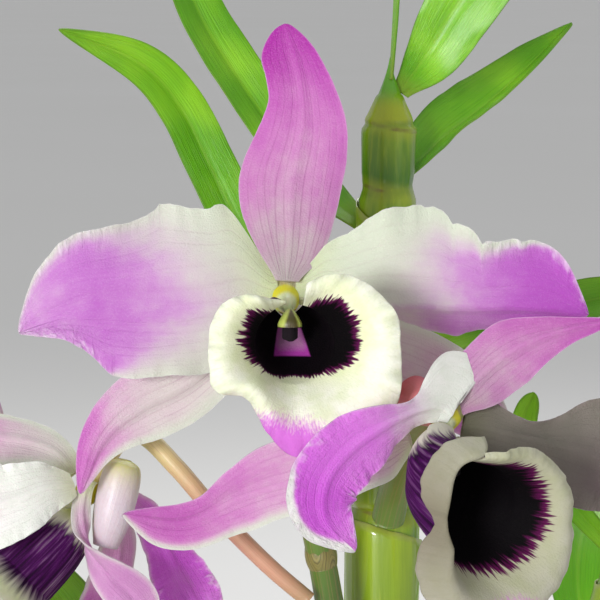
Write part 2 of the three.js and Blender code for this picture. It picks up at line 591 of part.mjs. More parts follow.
// The column over the throat, the chin behind it, and the stalk down to the cane, which grow as one.
function columnGeometry(bloom, form, own) {
  const inPlant = (point) => vector(point).applyMatrix4(own).toArray();
  const part = (share, point) => inPlant(point.map((v) => share * v));
  const path = [...bloom.stalk, inPlant([0, 0, 0]), part(0.5, form.anther), part(1, form.anther)];
  const heart = bloom.stalk.length / (path.length - 1);
  const radius = (t) => bloom.thick[0] + (bloom.thick[1] - bloom.thick[0]) * Math.min(t / heart, 1);
  const chin = [part(-0.06, form.chin), part(0.4, form.chin), part(0.75, form.chin), part(1, form.chin)];
  const pieces = [
    stem(path, (t) => radius(t) + 0.45 * Math.max(0, 1 - Math.abs(t - heart) / 0.12), 2 * path.length, 6),
    stem(chin, (t) => through([1.5, 2.5, 2.5, 1.2], t), 5, 8),
    new THREE.SphereGeometry(ANTHER, 8, 6).translate(...inPlant(form.anther)),
  ];
  if (bloom.bract) pieces.push(stem(bloom.bract, (t) => 2.7 - 0.7 * Math.abs(2 * t - 1), 2, 8));
  return geometryOf(joined(pieces));
}

// stalk runs from the cane to the heart, and thick is its radius at each end.
const BLOOMS = {
  front: {
    heart: [-1.9, -25, HEART], turn: [0, -7, 0], form: OPEN, thick: [2, 1.4],
    stalk: [[6.6, -10, 182], [4.6, -14.1, 188.8], [3.2, -15.8, 196.6], [1.6, -17.2, 204.8], [0.2, -17, 214.9], [-1.2, -15.7, 225.8], [-1.8, -16, 234.3], [-1.9, -19.7, 236.8]],
    bract: [[3.4, -15.6, 195.5], [2.9, -16.1, 198], [2.4, -16.5, 200.3]],
  },
  right: {
    heart: [18.6, -39.8, 221.3], turn: [0, -7, 0], form: DROOPING, thick: [2.2, 1.4],
    stalk: [[12.4, -9.9, 202.3], [13.2, -12.7, 206.9], [14.2, -17.8, 211.9], [15.8, -24.2, 216.8], [18.2, -30.8, 220.6], [19.6, -35.6, 222.6]],
  },
  left: {
    heart: [-29.2, -20.3, 207.7], turn: [0, -7, 0], form: TURNED, thick: [1.1, 1.3],
    stalk: [[1.2, -18.3, 192.5], [-4.6, -17.9, 197.5], [-11.5, -17.5, 204.5], [-17, -16.7, 210.8], [-22, -14.8, 215], [-26, -15.2, 213.2]],
  },
  back: {
    heart: [20, 42, 140], turn: [165, 4, 4], form: OPEN, thick: [1.5, 1.4],
    stalk: [[8.4, 9.6, 121], [10.5, 16, 126], [13.4, 24, 132.4], [17, 33, 137.6]],
  },
  high: {
    heart: [-84, -3, 261], turn: [-35, 8, -6], form: OPEN, thick: [1.5, 1.4],
    stalk: [[-63.6, 11.8, 241], [-68.4, 8.6, 247], [-73.8, 5, 252.6], [-79, 1, 257.6]],
  },
};

for (const [name, bloom] of Object.entries(BLOOMS)) {
  const own = new THREE.Matrix4().makeTranslation(...bloom.heart).multiply(rotation(bloom.turn));
  for (const [part, blade] of Object.entries(bloom.form.tepals)) {
    const made = bladeGeometry(blade, [0, -1, 0], 9, 4, PETAL).applyMatrix4(own);
    add(`${name}_bloom_${part}`, made, part.startsWith("petal") ? "petal" : "sepal");
  }
  add(`${name}_bloom_lip`, lipGeometry(bloom.form).applyMatrix4(own), "lip");
  add(`${name}_bloom_column_and_stalk`, columnGeometry(bloom, bloom.form, own), "column");
}

// ---- Buds ----------------------------------------------------------------------------------------------------------
// Two closed buds share a stalk on the left cane.
const BUDS = [
  [[-45, 18.8, 191], [-47, 25, 197], [-50, 31, 203], [-52, 36, 210], [-53, 41, 219]],
  [[-47, 25, 197], [-53, 29.5, 199.5], [-58.5, 33, 203], [-63.5, 36, 208], [-67, 40, 215]],
];
const BUD_RADIUS = [1.2, 1.2, 1.2, 4.9, 4.6, 1];

add("buds", geometryOf(joined(BUDS.map((path) => stem(path, (t) => through(BUD_RADIUS, t), 10, 7)))), "bud");

export default plant;
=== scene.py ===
"""A noble dendrobium orchid in full bloom, in a clay pot of bark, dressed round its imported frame.

Metres, +Z up. Sizes are given in millimetres and each mesh is made in metres."""

import bpy
import numpy as np
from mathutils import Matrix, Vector


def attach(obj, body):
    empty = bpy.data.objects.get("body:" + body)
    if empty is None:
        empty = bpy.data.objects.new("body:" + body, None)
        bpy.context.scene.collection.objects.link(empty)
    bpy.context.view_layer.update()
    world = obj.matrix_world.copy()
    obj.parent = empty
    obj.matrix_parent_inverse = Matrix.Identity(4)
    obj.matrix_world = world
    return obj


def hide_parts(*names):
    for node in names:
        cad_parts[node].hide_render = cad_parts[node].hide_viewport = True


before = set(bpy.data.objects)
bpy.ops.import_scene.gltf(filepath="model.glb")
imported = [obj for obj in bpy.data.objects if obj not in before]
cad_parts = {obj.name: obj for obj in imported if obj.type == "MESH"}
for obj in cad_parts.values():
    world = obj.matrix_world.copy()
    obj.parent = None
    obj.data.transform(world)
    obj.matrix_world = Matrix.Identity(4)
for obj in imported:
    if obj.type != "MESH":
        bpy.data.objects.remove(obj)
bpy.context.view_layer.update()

# ---- The pot -------------------------------------------------------------------------------------
# A thrown red clay pot with a thick rim band, fired unglazed. Its floor has three drain holes.
# Lime from the water has dried on it in pale patches, and its outside keeps the fine rings of the throwing.
POT_OUTLINE = [
    (0, 0), (33, 0), (36, 0.4), (37, 1.4), (48.4, 69), (49.6, 70), (52.6, 70), (53.2, 71.5),
    (55, 86), (54.6, 88), (51, 88), (49.6, 87), (44.2, 68), (33.5, 6), (0, 6),
]
POT_DRAIN = {"radius": 4, "ring": 20, "count": 3, "through": (-3, 9)}


def tone(colour):
    """A screen colour 0xRRGGBB as linear light: ((c + 0.055) / 1.055) ** 2.4 in each channel, or c / 12.92
    where it is very dark."""
    channels = [((colour >> shift) & 255) / 255 for shift in (16, 8, 0)]
    return (*[c / 12.92 if c < 0.04045 else ((c + 0.055) / 1.055) ** 2.4 for c in channels], 1)


class Wire:
    """A node's output. Arithmetic on it adds Math nodes, with a number or another wire on either side."""

    def __init__(self, finish, socket):
        self.finish = finish
        self.socket = socket

    def math(self, operation, *values):
        return self.finish.node("ShaderNodeMath", {"operation": operation}, dict(enumerate(values)))

    def __add__(self, other):
        return self.math("ADD", self, other)

    def __sub__(self, other):
        return self.math("SUBTRACT", self, other)

    def __rsub__(self, other):
        return self.math("SUBTRACT", other, self)

    def __mul__(self, other):
        return self.math("MULTIPLY", self, other)

    __radd__ = __add__
    __rmul__ = __mul__

    def size(self):
        return self.math("ABSOLUTE", self)

    def least(self, other):
        return self.math("MINIMUM", self, other)

    def ease(self, low, high, start=0.0, end=1.0):
        """start below low and end above high, with a smooth step s * s * (3 - 2 * s) between them."""
        inputs = {"Value": self, "From Min": low, "From Max": high, "To Min": start, "To Max": end}
        return self.finish.node("ShaderNodeMapRange", {"interpolation_type": "SMOOTHSTEP"}, inputs)


class Finish:
    """A material in the making. Its constants go straight onto the shader's own sockets."""

    def __init__(self, name, **constants):
        self.material = bpy.data.materials.new(name)
        self.material.use_nodes = True
        self.tree = self.material.node_tree
        self.shader = self.tree.nodes["Principled BSDF"]
        for socket, value in constants.items():
            self.shader.inputs[socket.replace("_", " ")].default_value = value

    def node(self, kind, settings=(), inputs=(), output=0):
        """Adds a node: its settings first, then the values or wires of its sockets. Gives one output."""
        made = self.tree.nodes.new(kind)
        for name, value in dict(settings).items():
            setattr(made, name, value)
        for name, value in dict(inputs).items():
            if isinstance(value, Wire):
                self.tree.links.new(value.socket, made.inputs[name])
            else:
                made.inputs[name].default_value = value
        return Wire(self, made.outputs[output])

    def place(self, stretch=(1, 1, 1)):
        """The piece's own coordinates in millimetres, squeezed along its axes by stretch."""
        place = self.node("ShaderNodeTexCoord", output="Object")
        scale = [1000 * share for share in stretch]
        return self.node("ShaderNodeMapping", inputs={"Vector": place, "Scale": scale})

    def mark(self, name, part=None):
        """A mark kept on the piece's points: a number, or one part (0, 1 or 2) of three, or all three."""
        whole = self.node("ShaderNodeAttribute", {"attribute_name": name}, output="Vector")
        if part is None:
            return whole
        return self.node("ShaderNodeSeparateXYZ", inputs={0: whole}, output=part)

    def cloud(self, place, grain, detail=2.0, roughness=0.5, distortion=0.0):
        """Soft noise from 0 to 1, round 0.5, whose lumps are about grain millimetres across."""
        inputs = {"Vector": place, "Scale": 1 / grain, "Detail": detail, "Roughness": roughness}
        return self.node("ShaderNodeTexNoise", inputs={**inputs, "Distortion": distortion})

    def cells(self, place, grain):
        """The distance from the nearest of scattered points that are about grain millimetres apart."""
        inputs = {"Vector": place, "Scale": 1 / grain}
        return self.node("ShaderNodeTexVoronoi", {"feature": "F1"}, inputs, "Distance")

    def mix(self, share, first, second, blend="MIX"):
        """Two colours mixed: all first where share is 0, all second where it is 1."""
        inputs = {0: share, 6: first, 7: second}
        return self.node("ShaderNodeMix", {"data_type": "RGBA", "blend_type": blend}, inputs, 2)

    def paint(self, base, *coats):
        """The colour base under coats, each a share and the colour that covers where the share is 1."""
        colour = base if isinstance(base, Wire) else tone(base)
        for share, over in coats:
            colour = self.mix(share, colour, over if isinstance(over, Wire) else tone(over))
        return colour

    def wear(self, colour, roughness, relief, depth, coat=None):
        """Joins the shader: colour, roughness, a relief from 0 to 1 that stands depth millimetres high, and
        the weight of a glossy coat."""
        bump = self.node("ShaderNodeBump", inputs={"Height": relief, "Distance": depth / 1000, "Strength": 1})
        worn = {"Base Color": colour, "Roughness": roughness, "Normal": bump, "Coat Weight": coat}
        for name, value in worn.items():
            if value is not None:
                self.tree.links.new(value.socket, self.shader.inputs[name])


def circle(sides):
    """The angles of equal steps round a circle."""
    return np.linspace(0, 2 * np.pi, sides, endpoint=False)


def joined(*values):
    """Numbers and arrays, each spread over the whole grid, as the last axis of one array."""
    return np.stack(np.broadcast_arrays(*values), -1)


def outward(points, quads, corners, marks):
    """One closed skin, turned to face out: the sum of a . (b x c) over its triangles is made positive."""
    halves = np.vstack([quads[:, [0, 1, 2]], quads[:, [0, 2, 3]], corners])
    a, b, c = (points[halves[:, k]] for k in range(3))
    if np.einsum("ij,ij->", a, np.cross(b, c)) < 0:
        quads, corners = quads[:, ::-1], corners[:, ::-1]
    return {"points": points, "quads": quads, "corners": corners, "marks": marks}


def turned(rings, start, end, marks=None):
    """A round skin from rings, an array of rings by sides by 3, closed by a fan to a point at each end."""
    rows, sides = rings.shape[:2]
    number = np.arange(rows * sides).reshape(rows, sides)
    beside = np.roll(number, -1, axis=1)
    quads = np.stack([number[:-1], number[1:], beside[1:], beside[:-1]], -1).reshape(-1, 4)
    first, last = np.full(sides, rows * sides), np.full(sides, rows * sides + 1)
    fans = [np.stack([first, beside[0], number[0]], -1), np.stack([last, number[-1], beside[-1]], -1)]
    kept = {}
    for name, values in (marks or {}).items():
        grid = values.reshape(rows, sides, -1)
        kept[name] = np.vstack([grid.reshape(rows * sides, -1), grid[0].mean(0), grid[-1].mean(0)])
    return outward(np.vstack([rings.reshape(-1, 3), start, end]), quads, np.vstack(fans), kept)


def make_piece(node, skins, finish):
    """Puts skins in millimetres, with their marks, into one mesh in metres that stands for a CAD node."""
    counts = np.cumsum([0] + [len(skin["points"]) for skin in skins])
    faces = []
    for skin, count in zip(skins, counts):
        faces += (skin["quads"] + count).tolist() + (skin["corners"] + count).tolist()
    mesh = bpy.data.meshes.new(node + "_skin")
    mesh.from_pydata(np.vstack([skin["points"] for skin in skins]) / 1000, [], faces)
    mesh.polygons.foreach_set("use_smooth", np.ones(len(faces), bool))
    for name in skins[0]["marks"]:
        values = np.vstack([skin["marks"][name] for skin in skins]).astype(np.float32)
        values = np.hstack([values, np.zeros((len(values), 3 - values.shape[1]), np.float32)])
        mesh.attributes.new(name, "FLOAT_VECTOR", "POINT").data.foreach_set("vector", values.ravel())
    mesh.materials.append(finish.material)
    piece = bpy.data.objects.new(node + "_skin", mesh)
    bpy.context.scene.collection.objects.link(piece)
    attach(piece, "root")
    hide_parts(node)
    return piece


def rounded(outline, times):
    """An open outline with its corners cut, times over: each edge keeps its points at 1/4 and 3/4."""
    line = np.array(outline, float)
    for _ in range(times):
        quarters = [0.75 * line[:-1] + 0.25 * line[1:], 0.25 * line[:-1] + 0.75 * line[1:]]
        cut = np.stack(quarters, 1).reshape(-1, 2)
        line = np.vstack([line[:1], cut[1:-1], line[-1:]])
    return line


def evened(line, step):
    """The same line with its points about step apart."""
    far = np.concatenate([[0], np.cumsum(np.linalg.norm(np.diff(line, axis=0), axis=1))])
    at = np.linspace(0, far[-1], int(far[-1] / step) + 1)
    return np.stack([np.interp(at, far, line[:, k]) for k in (0, 1)], -1)


clay = Finish("fired_red_clay", Specular_IOR_Level=0.25)
where = clay.place()
rings = clay.cloud(clay.place((0.02, 0.02, 1)), 1.3, 3)
sand = clay.cloud(where, 0.5, 4, 0.7)
patches = clay.cloud(where, 17, 5, 0.62, 0.6)
lime = patches.ease(0.53, 0.68) * clay.cloud(where, 1.6, 3).ease(0.3, 0.65)
height = clay.node("ShaderNodeSeparateXYZ", inputs={0: where}, output=2)
damp = height.ease(0, 26, 1, 0) * clay.cloud(where, 9, 3).ease(0.3, 0.6, 0.5, 1)
body = clay.paint(
    0xB4613A,
    (clay.cloud(where, 26, 3).ease(0.3, 0.7), 0xC97E55),
    (sand.ease(0.35, 0.75) * 0.4, 0x93492B),
    (damp * 0.55, 0x7C3F28),
    (lime * 0.62, 0xE2D3C2),
)
clay.wear(body, 0.82 + sand * 0.14, rings * 0.55 + sand * 0.35 + lime * 0.2, 0.35)

# The wall wavers as it was thrown: three slow lobes that lean with the height, and fine rings up it.
outline = evened(rounded(POT_OUTLINE, 2), 1.7)[1:-1]
out, up, around = outline[:, :1], outline[:, 1:], circle(96)
wobble = 0.12 * np.sin(3 * around + up / 21) + 0.08 * np.sin(up * 1.9)
reach = out + wobble * np.clip(up / 10, 0, 1)
pot_rings = joined(reach * np.cos(around), reach * np.sin(around), up)
pot = make_piece("clay_pot", [turned(pot_rings, (0, 0, 0), (0, 0, 6))], clay)

# Each drain hole is cut by a round bit that runs through the floor.
for turn in circle(POT_DRAIN["count"]):
    middle = POT_DRAIN["ring"] * np.array([np.cos(turn), np.sin(turn)])
    rim = middle + POT_DRAIN["radius"] * joined(np.cos(circle(24)), np.sin(circle(24)))
    ends = [(*middle, height) for height in POT_DRAIN["through"]]
    rims = np.stack([joined(rim[:, 0], rim[:, 1], height) for height in POT_DRAIN["through"]])
    bit = turned(rims, *ends)
    mesh = bpy.data.meshes.new("drain_bit")
    mesh.from_pydata(bit["points"] / 1000, [], bit["quads"].tolist() + bit["corners"].tolist())
    cutter = bpy.data.objects.new("drain_bit", mesh)
    bpy.context.scene.collection.objects.link(cutter)
    cut = pot.modifiers.new("drain", "BOOLEAN")
    cut.operation, cut.object, cut.solver = "DIFFERENCE", cutter, "EXACT"
    drilled = bpy.data.meshes.new_from_object(pot.evaluated_get(bpy.context.evaluated_depsgraph_get()))
    pot.modifiers.remove(cut)
    pot.data = drilled
    bpy.data.objects.remove(cutter)
pot.data.name = "clay_pot_skin"

# ---- The bark ------------------------------------------------------------------------------------
# Coarse pine bark, broken into flat chips, fills the pot to just under its rim. The chips lie loose over
# one another at all angles, dark brown outside and rusty where they have split.
BARK = {"top": 78, "mound": 2.5, "reach": 45.2, "floor": 6.4, "floor_reach": 33, "chips": 170, "seed": 7}
CHIP_SIZES = ([7, 5, 2.2], [15, 9.5, 4.5])
GOLDEN_TURN = 2.39996
CANE_FEET = [(5, 3), (-14, 6), (21, 9), (-8, 20)]

bark = Finish("pine_bark", Specular_IOR_Level=0.2)
where = bark.place()
chip = bark.mark("chip", 0)
flakes = bark.cloud(bark.mark("layer"), 1.1, 4, 0.6)
pits = bark.cloud(where, 0.7, 4, 0.7)
body = bark.paint(
    0x3A2618,
    (chip.ease(0.1, 0.9), 0x7A5034),
    (flakes.ease(0.45, 0.65) * 0.75, 0x94623C),
    (pits.ease(0.55, 0.7) * 0.7, 0x1E140E),
    (bark.cloud(where, 8, 3).ease(0.58, 0.75) * 0.35, 0xA79A86),
)
bark.wear(body, 0.86 + pits * 0.12, flakes * 0.6 + pits * 0.5, 0.8)

# Under the loose chips lies a bed: a mounded top, its lumps three waves that run round it, and a side that
# follows the wall of the pot down to its floor.
random = np.random.default_rng(BARK["seed"])
far, around = np.linspace(0, 1, 40)[1:, None], circle(96)
lumps = sum(np.sin(k * around + far * (5 * k + 3) + 2 * k) for k in (3, 7, 12)) * 0.35
bed_top = BARK["top"] - 1.5 + BARK["mound"] * (1 - far**2) + lumps * np.minimum(1, 6 * (1 - far))
top = joined(BARK["reach"] * far * np.cos(around), BARK["reach"] * far * np.sin(around), bed_top)
side_reach = np.linspace(BARK["reach"], BARK["floor_reach"], 20)[:, None]
side_height = np.linspace(BARK["top"] - 2, BARK["floor"], 20)[:, None]
side = joined(side_reach * np.cos(around), side_reach * np.sin(around), side_height)
bed_rings = np.concatenate([top, side])
bed_marks = {"chip": np.full(bed_rings.shape[:2], 0.15), "layer": bed_rings / 3}
bark_skins = [turned(bed_rings, (0, 0, BARK["top"] + 1), (0, 0, BARK["floor"]), bed_marks)]


def rotation(yaw, pitch, roll):
    """Turns by roll about Y, then by pitch about X, then by yaw about Z, in degrees."""
    a, b, c = np.cos(np.radians([yaw, pitch, roll]))
    d, e, f = np.sin(np.radians([yaw, pitch, roll]))
    about_z = np.array([[a, -d, 0], [d, a, 0], [0, 0, 1]])
    about_x = np.array([[1, 0, 0], [0, b, -e], [0, e, b]])
    about_y = np.array([[c, 0, f], [0, 1, 0], [-f, 0, c]])
    return about_z @ about_x @ about_y


def chip_skin(middle, size, tilt, number):
    """A chip of bark: a box rounded as cos and sin to the power 0.38, its faces moved by three crossing
    sine waves."""
    up, around = np.linspace(-1.45, 1.45, 9)[:, None], circle(12)

    def square(wave):
        return np.sign(wave) * np.abs(wave) ** 0.38

    level = square(np.cos(up))
    box = joined(level * square(np.cos(around)), level * square(np.sin(around)), square(np.sin(up)))
    waves = sum(np.sin(box @ random.normal(0, 3, (3, 3)) + random.uniform(0, 6, 3)) for _ in range(3))
    shape = (box + 0.09 * waves) * np.array(size) / 2
    placed = shape @ rotation(*np.degrees(tilt)).T + middle
    marks = {"chip": np.full((9, 12), number), "layer": shape * [0.25, 0.25, 2.2] + number * 40}
    return turned(placed, placed[0].mean(0), placed[-1].mean(0), marks)


# The chips lie in a sunflower's order over the bed, and leave room for the canes.
for k in range(BARK["chips"]):
    far = (BARK["reach"] - 6) * np.sqrt((k + 0.5) / BARK["chips"])
    middle = np.array([far * np.cos(GOLDEN_TURN * k), far * np.sin(GOLDEN_TURN * k), 0])
    size = random.uniform(*CHIP_SIZES)
    tilt = random.uniform([0, -0.4, -0.4], [6.28, 0.4, 0.4])
    mound = BARK["mound"] * (1 - (far / BARK["reach"]) ** 2)
    middle[2] = BARK["top"] + mound + random.uniform(-1.6, 1.4)
    shade = random.uniform()
    if min(np.hypot(middle[0] - x, middle[1] - y) for x, y in CANE_FEET) > 6.5:
        bark_skins.append(chip_skin(middle, size, tilt, shade))
make_piece("bark_chips", bark_skins, bark)

# ---- The rhizome and the roots -------------------------------------------------------------------
# A short woody stem creeps under the bark from cane to cane. Fat roots leave it, coated in white spongy
# velamen. Some wander over the bark and some climb over the rim, and their growing tips are green.
RUNNERS = [
    [[-16, 5, 70], [-8, 4, 70], [0, 3, 70], [8, 4, 70], [16, 7, 70], [23, 10, 70]],
    [[-4, 3, 70], [-5, 9, 70], [-7, 15, 70], [-9, 22, 70]],
]
ROOTS = [
    [
        [-12, 5, 70], [-22, -7, 79], [-32, -19, 83.5], [-40, -28, 91], [-48, -33.5, 90], [-49.6, -35, 76],
        [-46.5, -35, 62],
    ],
    [[10, 4, 70], [19, -6, 78.5], [26, -17, 81.4], [28, -29, 81.2], [20, -38, 80.6]],
    [
        [-8, 20, 70], [1, 30, 78.5], [10, 39, 83], [17, 48.5, 91.2], [20.6, 56, 86], [21.6, 56.4, 74],
        [20, 54, 62],
    ],
    [[20, 9, 70], [30, 11, 79], [38, 6, 82], [41, -5, 81.4], [36, -15, 80.8]],
]
ROOT_RADIUS = [2.2, 1.8, 1.6, 1.5, 1.4, 1.3, 0.9]


def through(knots, t):
    """A smooth curve through evenly spaced knots: on each span a cubic that leaves every knot along the
    line between its two neighbours, with the row of knots carried on straight at both ends."""
    knots = np.array(knots, float).reshape(len(knots), -1)
    row = np.vstack([2 * knots[0] - knots[1], knots, 2 * knots[-1] - knots[-2]])
    at = np.clip(np.asarray(t, float), 0, 1) * (len(knots) - 1)
    i = np.minimum(at.astype(int), len(knots) - 2)
    s = (at - i)[..., None]
    a, b, c, d = (row[i + k] for k in range(4))
    curve = b + 0.5 * s * (c - a + s * (2 * a - 5 * b + 4 * c - d + s * (3 * b - a - 3 * c + d)))
    return curve if knots.shape[1] > 1 else curve[..., 0]


def unit(vectors):
    return vectors / np.maximum(np.linalg.norm(vectors, axis=-1, keepdims=True), 1e-12)


def stations(path, face, u):
    """Along a path at the shares u: points, tangents, and a sideways direction that starts square to face
    and is carried on without twisting, by taking off what lies along the tangent."""
    points = through(path, u)
    tangents = unit(through(path, np.minimum(u + 0.01, 1)) - through(path, np.maximum(u - 0.01, 0)))
    sides = [np.cross(tangents[0], face)]
    for tangent in tangents:
        side = sides[-1] - (sides[-1] @ tangent) * tangent
        sides.append(side / np.linalg.norm(side))
    return points, tangents, np.array(sides[1:])


def stem(path, radius, rows, sides, marks):
    """A round bar along a path. Its radius and its marks are each a number or a function of the share u
    along it and the angle turn round it."""
    u, turn = np.linspace(0, 1, rows), circle(sides)
    points, tangents, across = stations(path, [0.13, -0.9, 0.4], u)
    up = np.cross(across, tangents)
    out = across[:, None] * np.cos(turn)[:, None] + up[:, None] * np.sin(turn)[:, None]

    def over(value):
        given = value(u[:, None], turn) if callable(value) else value
        return given * np.ones((rows, sides))

    rings = points[:, None] + out * over(radius)[..., None]
    return turned(rings, points[0], points[-1], {name: over(mark) for name, mark in marks.items()})


def runner_radius(u, turn):
    """The woody stem thins towards its ends, and its scars are a small wave along it."""
    return 4.4 * (1 - 0.35 * np.abs(2 * u - 1) ** 4) + 0.25 * np.sin(40 * u)


def root_radius(number):
    """A root's radius, with lumps along it and three low ridges that wind round it."""

    def radius(u, turn):
        lumps = 1 + 0.05 * np.sin(31 * u + number) + 0.03 * np.sin(3 * turn + 17 * u)
        return through(ROOT_RADIUS, u) * lumps

    return radius


root = Finish("root_velamen", Specular_IOR_Level=0.3)
where = root.place()
felt = root.cloud(where, 0.35, 4, 0.7)
stain = root.cloud(where, 5, 4)
body = root.paint(
    0xC9C8B4,
    (stain.ease(0.35, 0.7), 0x9FA184),
    (root.cloud(where, 2.2, 4, 0.7).ease(0.56, 0.72) * 0.6, 0x7A684C),
    (root.mark("tip", 0).ease(0.9, 0.97), 0x7F9A3A),
    (root.mark("wood", 0), 0x6C6638),
)
root.wear(body, 0.62 + felt * 0.3, felt * 0.5 + root.cloud(where, 1.5, 3), 0.3)

root_skins = [stem(line, runner_radius, 48, 20, {"tip": 0, "wood": 1}) for line in RUNNERS]
for number, line in enumerate(ROOTS):
    root_skins.append(stem(line, root_radius(number), 120, 16, {"tip": lambda u, turn: u, "wood": 0}))
make_piece("rhizome_and_roots", root_skins, root)

# ---- The canes -----------------------------------------------------------------------------------
# Jointed fleshy canes, green and glossy. Each internode widens upwards and pinches in at its joint, and the
# sheath of a leaf wraps it: green while it is young, papery and pale once its leaf has dropped.

# line is a cane's middle and girth its radius from its foot to its top, and joints are heights. Below dry, a
# share of its height, its sheaths are papery, and above bare it has none.
CANES = {
    "main": {
        "top": 261.2, "point": 5.4, "dry": 0.32, "bare": 240, "shoulder": 257.3, "sharp": 1.4,
        "line": [
            [5, 3], [6.2, 0.5], [8.2, -2.4], [10.2, -4.8], [11.4, -5.2], [12, -3.6], [12.2, -0.8],
            [12.8, 3],
        ],
        "girth": [3.2, 4.4, 5, 5.2, 5.1, 4.9, 4.2, 3.7],
        "joints": [97, 118, 139.5, 160, 180.4, 202.6, 224, 247.8, 256.9],
    },
    "left": {
        "top": 262, "point": 0.8, "dry": 0.45,
        "line": [[-14, 6], [-20, 8], [-33, 10.5], [-48, 13], [-58, 15], [-63, 16]],
        "girth": [3.2, 4.6, 5.2, 5.1, 4.4, 3], "joints": [98, 121, 144, 167, 190, 214, 239, 256],
    },
    "right": {
        "top": 203, "point": 0.8, "dry": 0.3, "line": [[21, 9], [25, 11], [34, 15], [45, 19], [54, 23]],
        "girth": [3, 4.3, 4.6, 4.1, 3], "joints": [92, 111, 131, 151, 171, 190],
    },
    "old": {
        "top": 138, "point": 1.2, "dry": 2.0, "line": [[-8, 20], [-12, 24], [-19, 29], [-26, 33]],
        "girth": [3.2, 4.8, 4.7, 3], "joints": [92, 107, 123],
    },
}
CANE_FOOT = 75
INTERNODE = (
    [0, 0.03, 0.08, 0.25, 0.5, 0.75, 0.89, 0.95, 1], [0.92, 0.88, 0.91, 0.97, 1, 1.03, 1.04, 1.02, 0.94],
)


def bell(far, wide):
    """1 where far is 0 and fading to both sides, exp(-(far / wide) ** 2)."""
    return np.exp(-((far / wide) ** 2))


def cane_surface(cane, height, turn, extra=0.0):
    """The point on a cane at a height and an angle: its girth times the internode's swell, with eleven
    shallow ribs, a ring at each joint, and extra outside it all. It closes to a point over its shoulder."""
    ends = np.array([CANE_FOOT, *cane["joints"], cane["top"]])
    below = np.clip(np.searchsorted(ends, height, "right") - 1, 0, len(ends) - 2)
    along = np.clip((height - ends[below]) / (ends[below + 1] - ends[below]), 0, 1)
    t = (height - CANE_FOOT) / (cane["top"] - CANE_FOOT)
    middle = through(cane["line"], t)
    joint = np.abs((height + 0.9 * np.cos(turn + 0.4))[..., None] - ends[1:-1]).min(-1)
    peak = cane["top"] + cane["point"]
    shoulder = cane.get("shoulder", cane["top"] - 0.3)
    close = np.clip((peak - height) / (peak - shoulder), 0, 1) ** cane.get("sharp", 0.8)
    ribs = 1 + 0.012 * np.sin(11 * turn + height / 9) + 0.01 * np.sin(3 * turn)
    radius = through(cane["girth"], t) * np.interp(along, *INTERNODE) * ribs
    radius = (radius + 0.1 * bell(joint, 0.45) + extra) * close
    x, y = middle[..., 0], middle[..., 1]
    points = joined(x + radius * np.cos(turn), y + radius * np.sin(turn), height)
    return points, {"joint": joined(along, joint, t)}


def sheet_skin(middle, thickness, marks):
    """A thin closed sheet: its middle surface moved half the thickness each way along its normal, and
    joined round the rim. The mark inner is 1 on the skin that the normal leaves and 0 on the other."""
    normal = unit(np.cross(np.gradient(middle, axis=0), np.gradient(middle, axis=1)))
    lift = normal * (thickness * np.ones(middle.shape[:2]))[..., None] / 2
    rows, columns = middle.shape[:2]
    number = np.arange(rows * columns).reshape(rows, columns)
    quads = np.stack([number[:-1, :-1], number[1:, :-1], number[1:, 1:], number[:-1, 1:]], -1).reshape(-1, 4)
    rim = np.concatenate([number[:-1, 0], number[-1, :-1], number[:0:-1, -1], number[0, :0:-1]])
    after, count = np.roll(rim, -1), rows * columns
    band = np.stack([after, rim, rim + count, after + count], -1)
    kept = {k: np.vstack([v.reshape(count, -1)] * 2) for k, v in marks.items()}
    kept["inner"] = np.repeat([[1.0], [0.0]], count, axis=0)
    points = np.vstack([(middle + lift).reshape(-1, 3), (middle - lift).reshape(-1, 3)])
    return outward(points, np.vstack([quads, quads[:, ::-1] + count, band]), np.zeros((0, 3), int), kept)


def sheath_skin(cane, foot, end, dry, seed):
    """A sheath on one internode: a sheet wrapped a little over once round the cane, whose slanting upper
    edge is ragged by four sine waves, and which stands off the cane a little more towards that edge."""
    s, turn = np.linspace(0, 1, 17)[:, None], np.linspace(-0.15, 2 * np.pi + 0.15, 48)
    ragged = sum(np.sin(k * turn + seed * k) / k for k in (5, 9, 14, 23)) * (0.012 + 0.03 * dry)
    upper = 0.86 + 0.09 * np.cos(turn - 1) - 0.25 * dry * (0.5 + 0.5 * np.sin(seed)) + ragged
    height = foot + (end - foot) * s * upper
    off = 0.16 + 0.16 * turn / (2 * np.pi) + (0.12 + 0.5 * dry) * s**6
    points, marks = cane_surface(cane, height, turn + 2.4 * seed, off)
    marks["sheath"] = joined(np.ones_like(height), s, dry)
    return sheet_skin(points, 0.16, marks)


green_cane = Finish("cane_skin", Specular_IOR_Level=0.3, Coat_Roughness=0.1)
where = green_cane.place()
streak = green_cane.cloud(green_cane.place((1, 1, 0.045)), 0.7, 3, 0.55)
broad = green_cane.cloud(green_cane.place((1, 1, 0.12)), 2.6, 2)
along, joint, up = (green_cane.mark("joint", part) for part in range(3))
on_sheath, sheath_share, dry = (green_cane.mark("sheath", part) for part in range(3))
worn = green_cane.cloud(where, 1.6, 3).ease(0.35, 0.65)
body = green_cane.paint(
    0x4A7E04,
    (along.ease(0.1, 0.95), 0x8CAE0C),
    (broad.ease(0.35, 0.7) * 0.6, 0x3A7204),
    (streak.ease(0.5, 0.72) * 0.3, 0xAEC02C),
    (joint.ease(0.2, 2.2, 1, 0) * 0.6, 0xA7B41E),
    (joint.ease(0.1, 0.45, 1, 0) * (0.25 + worn * 0.5), 0x76602C),
    (up.ease(0.976, 0.982), 0xA6B414),
    (up.ease(0.988, 1.006), 0x64A81E),
    (up.ease(0.0, 0.45, 1, 0) * 0.4, 0x8C7B3B),
)
fibres = green_cane.cloud(green_cane.place((1, 1, 0.03)), 0.35, 4, 0.7)
